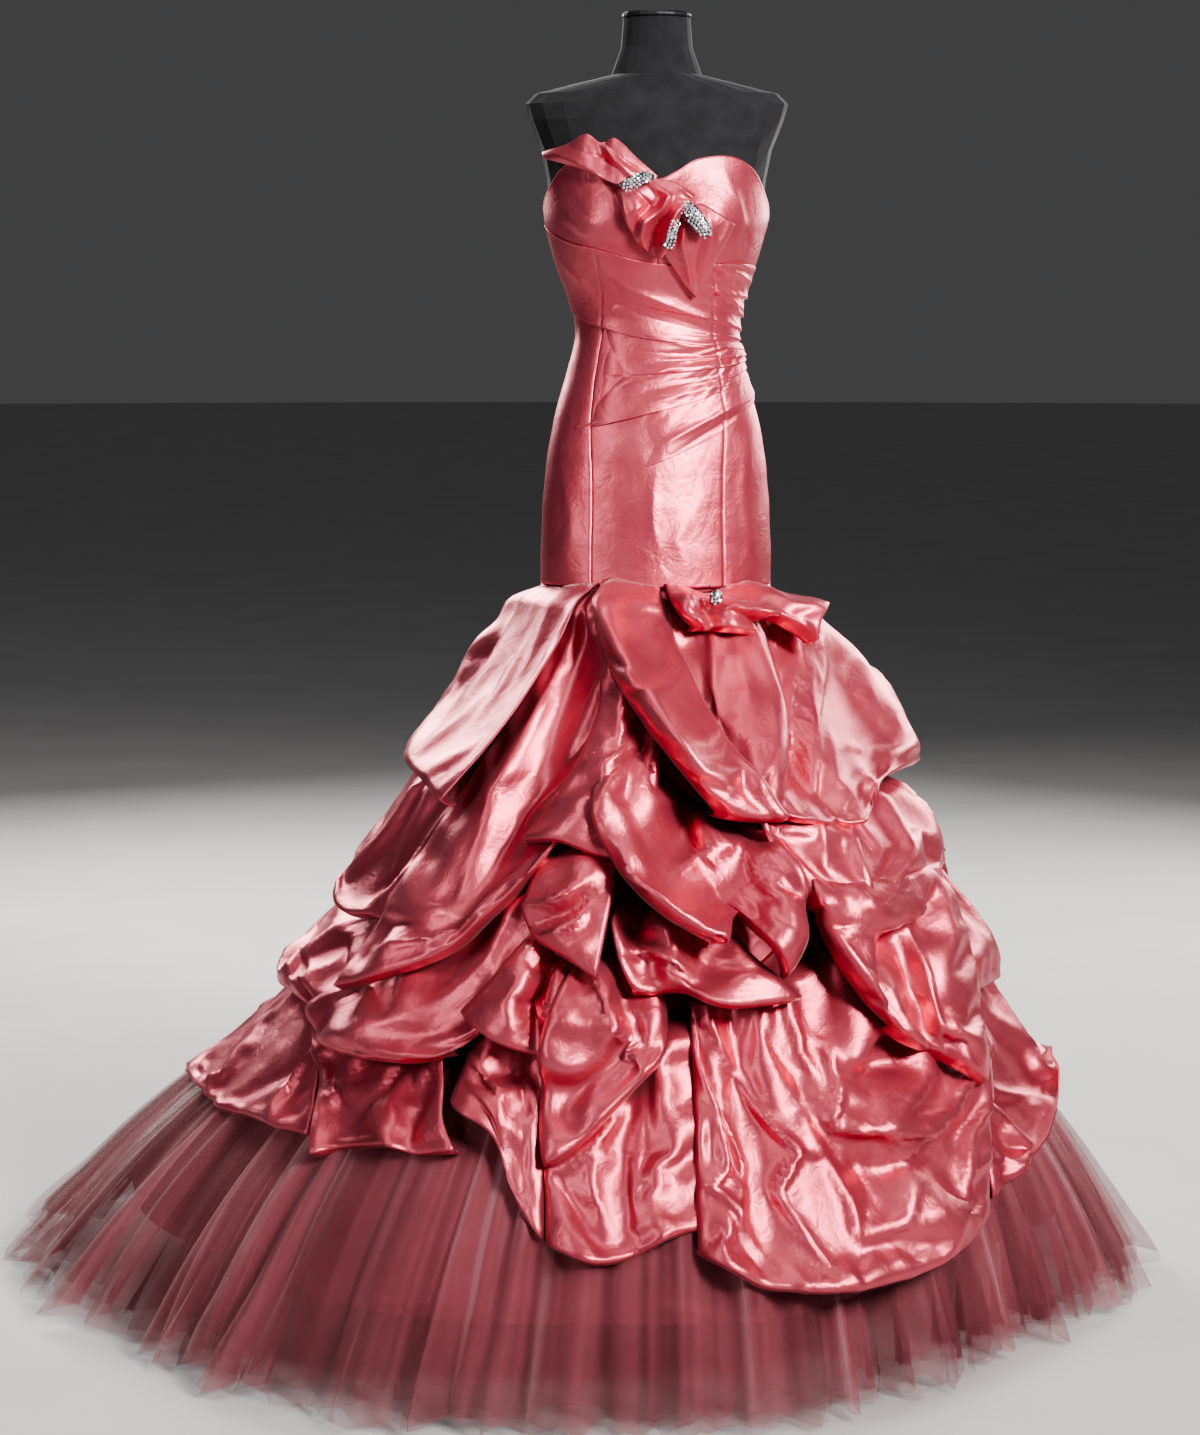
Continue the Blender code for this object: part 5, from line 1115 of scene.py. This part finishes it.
def wraps():
    """The draped strips: steps of their pleats, the seams' dips under them and wrinkles that fan out."""
    for name, first, last, top, foot, columns, rows, sunk, clear in STRIPS:
        a, h, t = lines_net(first, last, table_line(top, 0.007), table_line(foot), columns, rows)
        rise = STRIP_RISE + STRIP_GAIN * t
        for left, middle, right, depth, soft, begins, full in PLEATS[name]:
            below = hermite([-90, 0, 90], [left, middle, right], a) - h
            step = np.where(below < 0, np.exp(below * 1000 / soft), -0.25 * np.exp(-below * 1000 / soft))
            rise = rise + depth / 1000 * step * smoothstep(begins, full, a)
        for side in (-1, 1):
            away = (a - side * column(PRINCESS, 1, h)) / 0.9
            rise = rise - STRIP_DIP * np.exp(-away ** 2)
        base, out = body_base(a, h)
        reach = np.hypot(base[..., 0] - PULL[0], h - PULL[1])
        turn = np.arctan2(h - PULL[1], PULL[0] - base[..., 0])
        fan = np.array([noise.noise(Vector((k / 0.10, 3.3, 0.0))) for k in turn.ravel()]).reshape(turn.shape)
        rise = rise + STRIP_WRINKLE * fan * smoothstep(0.01, 0.05, reach) * np.exp(-reach / 0.11)
        rise = rise + EDGE_RISE * (1 - smoothstep(0, 0.03, t))
        rise = lift_clear(base, out, rise, STRIP_GAP, soften=1)
        above = np.maximum(smoothstep(sunk, clear, a), 1 - smoothstep(0, 0.12, t) if sunk > -60 else 1)
        bodice_piece(name, a, h, TUCKED + (rise - TUCKED) * above)


def bust_bow():
    rows, columns = BOW_NET
    for name, folds in BUST_BOW.items():
        net = fold_net(metres(folds, BOW_UNITS), columns, rows)
        x, h, rise = net[..., 0], net[..., 1], net[..., 2]
        a = np.degrees(np.arcsin(np.clip(x / column(BODY, 1, h), -1, 1)))
        rise = lift_clear(*body_base(a, h), rise, BOW_GAP)
        bodice_piece(name, a, h, rise)


# ---------------------------------------------------------------- skirts of satin and tulle
UNDERSKIRT_HEM = 0.115
UNDERSKIRT_DROP = 0.0014     # from the tier seam to the underskirt's top
UNDERSKIRT_NET = (40, 180)   # rows and columns
UNDERSKIRT_DEPTH = (-0.0060, -0.0435)   # off the cone at the top, and what is added to the foot
UNDERSKIRT_WAVES, WAVE_DEPTH = 9, 0.006
TULLE_ROWS, COLUMNS_A_WAVE = 30, 7
TULLE_GAP = 0.0012
TULLE_TOP = -0.0045          # off the cone
SLOW_WAVE, TUFT_WAVE = 0.024, 0.014     # depths at the foot of the waves over the pleats
HEM_LEAST, HEM_POWER, HEM_TUFT = 0.004, 0.030, 0.022    # height of the ragged hem and its unevenness
TULLE_BELLY = 0.028          # how far the tulle stands out half way down
HELD_BELLY = 0.3             # share of it in the layers that end off the floor
# Layers of tulle: name, nodes, height of the top, the foot's rise off the cone, number of waves and
# their depth, seed, material, and how far the hem is off the floor.
TULLE = [
    ("tulle_lining", [], 0.40, -0.060, 40, 0.012, 3.0, TULLE_INNER, 0.010),
    ("tulle_inner", ["tulle_inner"], 0.43, -0.040, 52, 0.016, 11.0, TULLE_INNER, 0.004),
    ("tulle_middle", [], 0.46, -0.024, 62, 0.018, 19.0, TULLE_OUTER, 0.0),
    ("tulle_outer", ["tulle_outer"], 0.50, -0.008, 74, 0.020, 29.0, TULLE_OUTER, 0.0),
]


def underskirt():
    rows, columns = UNDERSKIRT_NET
    angle = np.linspace(0, 360, columns, endpoint=False)[None, :] * np.ones((rows, 1))
    _, t = places(rows, columns)
    length = UNDERSKIRT_HEM - TIER_SEAM + UNDERSKIRT_DROP
    height = (TIER_SEAM - UNDERSKIRT_DROP) + length * t ** 0.9
    first, more = UNDERSKIRT_DEPTH
    rise = first + more * t * t + WAVE_DEPTH * t * np.sin(np.radians(angle * UNDERSKIRT_WAVES))
    base, out = skirt_base(angle, height)
    part = smoothstep(0, 0.05, t)
    base = body_base(angle, height)[0] * (1 - part[..., None]) + base * part[..., None]
    cloth_piece("underskirt", base + out * (rise * part)[..., None], SATIN,
                ["underskirt"], closed=True)


def tulle(name, nodes, top, foot_rise, waves, depth, seed, paint, lift):
    """A gathered layer: pleats of uneven depth that fan out to a ruffled hem."""
    columns, rows = waves * COLUMNS_A_WAVE, TULLE_ROWS
    angle = (360 * np.arange(columns) / columns)[None, :] * np.ones((rows, 1))
    _, t = places(rows, columns)
    turn = np.radians(angle)

    def around(scale, place):
        return np.array([noise.noise(Vector((math.cos(a) * scale, math.sin(a) * scale, seed + place)))
                         for a in turn[0]])[None, :]

    drift, power, tuft = around(2.2, 0), around(9, 5), around(22, 9)
    phase = waves * turn + 14 * drift + 3.0 * power + 0.8 * t * power
    second = np.sin(phase * 0.37 + 4 * power + seed)
    swell = np.clip(0.60 + 1.3 * power + 0.45 * second, 0.05, 1.6)
    wave = 0.65 * np.sin(phase) + 0.35 * (1 - 2 * np.abs(np.sin(phase / 2)) ** 0.8)
    rise = (TULLE_TOP + (foot_rise - TULLE_TOP) * t + depth * wave * swell * t ** 1.1
            + SLOW_WAVE * second * t * t + TUFT_WAVE * tuft * t ** 3)
    train = 1 + 0.9 * np.exp(-((wrapped(angle) + 100) / 40) ** 2)
    belly = TULLE_BELLY * np.sin(np.pi * t) * train
    rise = rise + belly * (HELD_BELLY if lift else 1.0)
    hem = lift + HEM_LEAST + HEM_POWER * np.clip(power, 0, 1) + HEM_TUFT * np.clip(tuft, 0, 1)
    base, out = skirt_base(angle, top + (hem - top) * t)
    rise = lift_clear(base, out, rise, TULLE_GAP, passes=1, soften=1, closed=True)
    points = base + out * rise[..., None]
    points[-1, :, 2] = np.maximum(points[-1, :, 2], 0.0005)
    piece = cloth_piece(name, points, paint, nodes,
                        closed=True, shell=0)
    # How thick the net is at each point: more at the pleats' crests, along fine lines, toward the top and in
    # tufts. The material sets the net's cover from it, and paints a darker shade where it is low and a paler
    # sheen where it is high.
    edge = np.abs(np.sin(phase / 2))
    fine = np.abs(np.sin(phase * 1.37 + 6 * tuft)) ** 6
    density_and_sheen = (0.08 + 0.30 * np.exp(-(edge / 0.30) ** 2) * np.clip(0.6 + 2 * tuft, 0, 1.3) + 0.16 * fine
             + 0.42 * (1 - t) + 0.45 * power + 0.30 * tuft)
    fold = piece.data.attributes.new("fold", "FLOAT", "POINT")
    fold.data.foreach_set("value", density_and_sheen.ravel().astype(np.float32))


# ---------------------------------------------------------------- stones
STONE_RINGS = [(1.0, 0.0), (0.92, 0.28), (0.56, 0.62)]   # radius and height over the stone's radius
STONE_SIDES = 8
STONE_SPACING = 0.0024
STONE_RADII = (0.0017, 0.0026)
STONE_HEIGHT, STONE_UNEVEN = 0.0008, 0.0016     # of a stone over its base, and how much it varies
STONE_LEAN = 0.5
BEAD_RADIUS, BEAD_HEIGHT = 0.0030, 0.0006


def cut_stone(points, faces, centre, way, radius, turn=0.0):
    """A brilliant cut stone: eight sides, a table on top and a flat back on the mount."""
    side = way.orthogonal().normalized()
    other = way.cross(side)
    start, n = len(points), STONE_SIDES
    for size, lift in STONE_RINGS:
        for k in range(n):
            around = turn + 2 * math.pi * k / n
            points.append(centre + (side * math.cos(around) + other * math.sin(around)) * radius * size
                          + way * radius * lift)
    for low in (start, start + n):
        for k in range(n):
            m = (k + 1) % n
            faces.append((low + k, low + m, low + n + m, low + n + k))
    faces.append(tuple(start + 2 * n + k for k in range(n)))
    faces.append(tuple(start + n - 1 - k for k in range(n)))


def stones_piece(name, points, faces):
    piece = new_object(name, points, faces, STONE, smooth_shade=False)
    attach(piece, "root")


def brooch(name, place, height, half_length, half_width, tilt):
    """Stones of uneven size along a spray, each set on the low base."""
    layers.add_node(name)
    turn = math.radians(tilt)
    points, faces = [], []
    rng = np.random.default_rng(len(name) * 31 + int(height * 100))
    rows = max(3, int(round(half_width / STONE_SPACING)))
    count = int(round(half_length / STONE_SPACING))
    for r, c in np.ndindex(rows, count):
        along = -1 + 2 * (c + 0.5 * (r % 2) + 0.25) / count
        wide = -1 + 2 * (r + 0.5) / rows
        if along ** 2 + wide ** 2 * 0.8 > 1.05:
            continue
        a = along * half_length
        w = wide * half_width + 0.25 * math.sin(along * math.pi) * half_width
        x = place + a * math.cos(turn) - w * math.sin(turn)
        z = height + a * math.sin(turn) + w * math.cos(turn)
        lean = [rng.uniform(-STONE_LEAN, STONE_LEAN) for _ in range(2)]
        room = layers.room(np.array([x, 0, z]), np.array([0, -1.0, 0]))
        centre = Vector((x, room - STONE_HEIGHT - rng.uniform(0, STONE_UNEVEN), z))
        way = Vector((lean[0], -1, lean[1])).normalized()
        cut_stone(points, faces, centre, way, rng.uniform(*STONE_RADII), rng.uniform(0, 1))
    stones_piece("stones_" + name, points, faces)


def bead():
    """A single stone sewn into the left swag."""
    right, up = BEAD_PLACE[0] - PHOTO_CENTRE[0], PHOTO_CENTRE[1] - BEAD_PLACE[1]
    focal = CAMERA_LENS / SENSOR * PIXELS_HIGH
    lean, rise = math.cos(CAMERA_TILT), math.sin(CAMERA_TILT)
    way = Vector((right, focal * lean + up * rise, up * lean - focal * rise)).normalized()
    hit = layers.tree.ray_cast(Vector(CAMERA_PLACE), way)[0]
    points, faces = [], []
    cut_stone(points, faces, hit - way * BEAD_HEIGHT, -way, BEAD_RADIUS)
    stones_piece("stone_swag", points, faces)


# ---------------------------------------------------------------- the gown
def dress_form():
    looks = {"form_torso": JERSEY, "form_neck_cap": LACQUER, "stand_base": LACQUER, "stand_pole": STEEL}
    looks.update({row[0]: SETTING for row in BROOCHES})
    for name, paint in looks.items():
        node = bpy.data.objects[name]
        node.data.materials.clear()
        node.data.materials.append(paint)
    layers.add_node("form_torso")


def main():
    camera()
    stage_and_light()
    bpy.context.scene.view_settings.look = "AgX - High Contrast"
    dress_form()
    gores()
    cups()
    wraps()
    underskirt()
    for row in TULLE:
        tulle(*row)
    overskirt()
    bust_bow()
    for row in BROOCHES:
        brooch(*row)
    bead()


main()
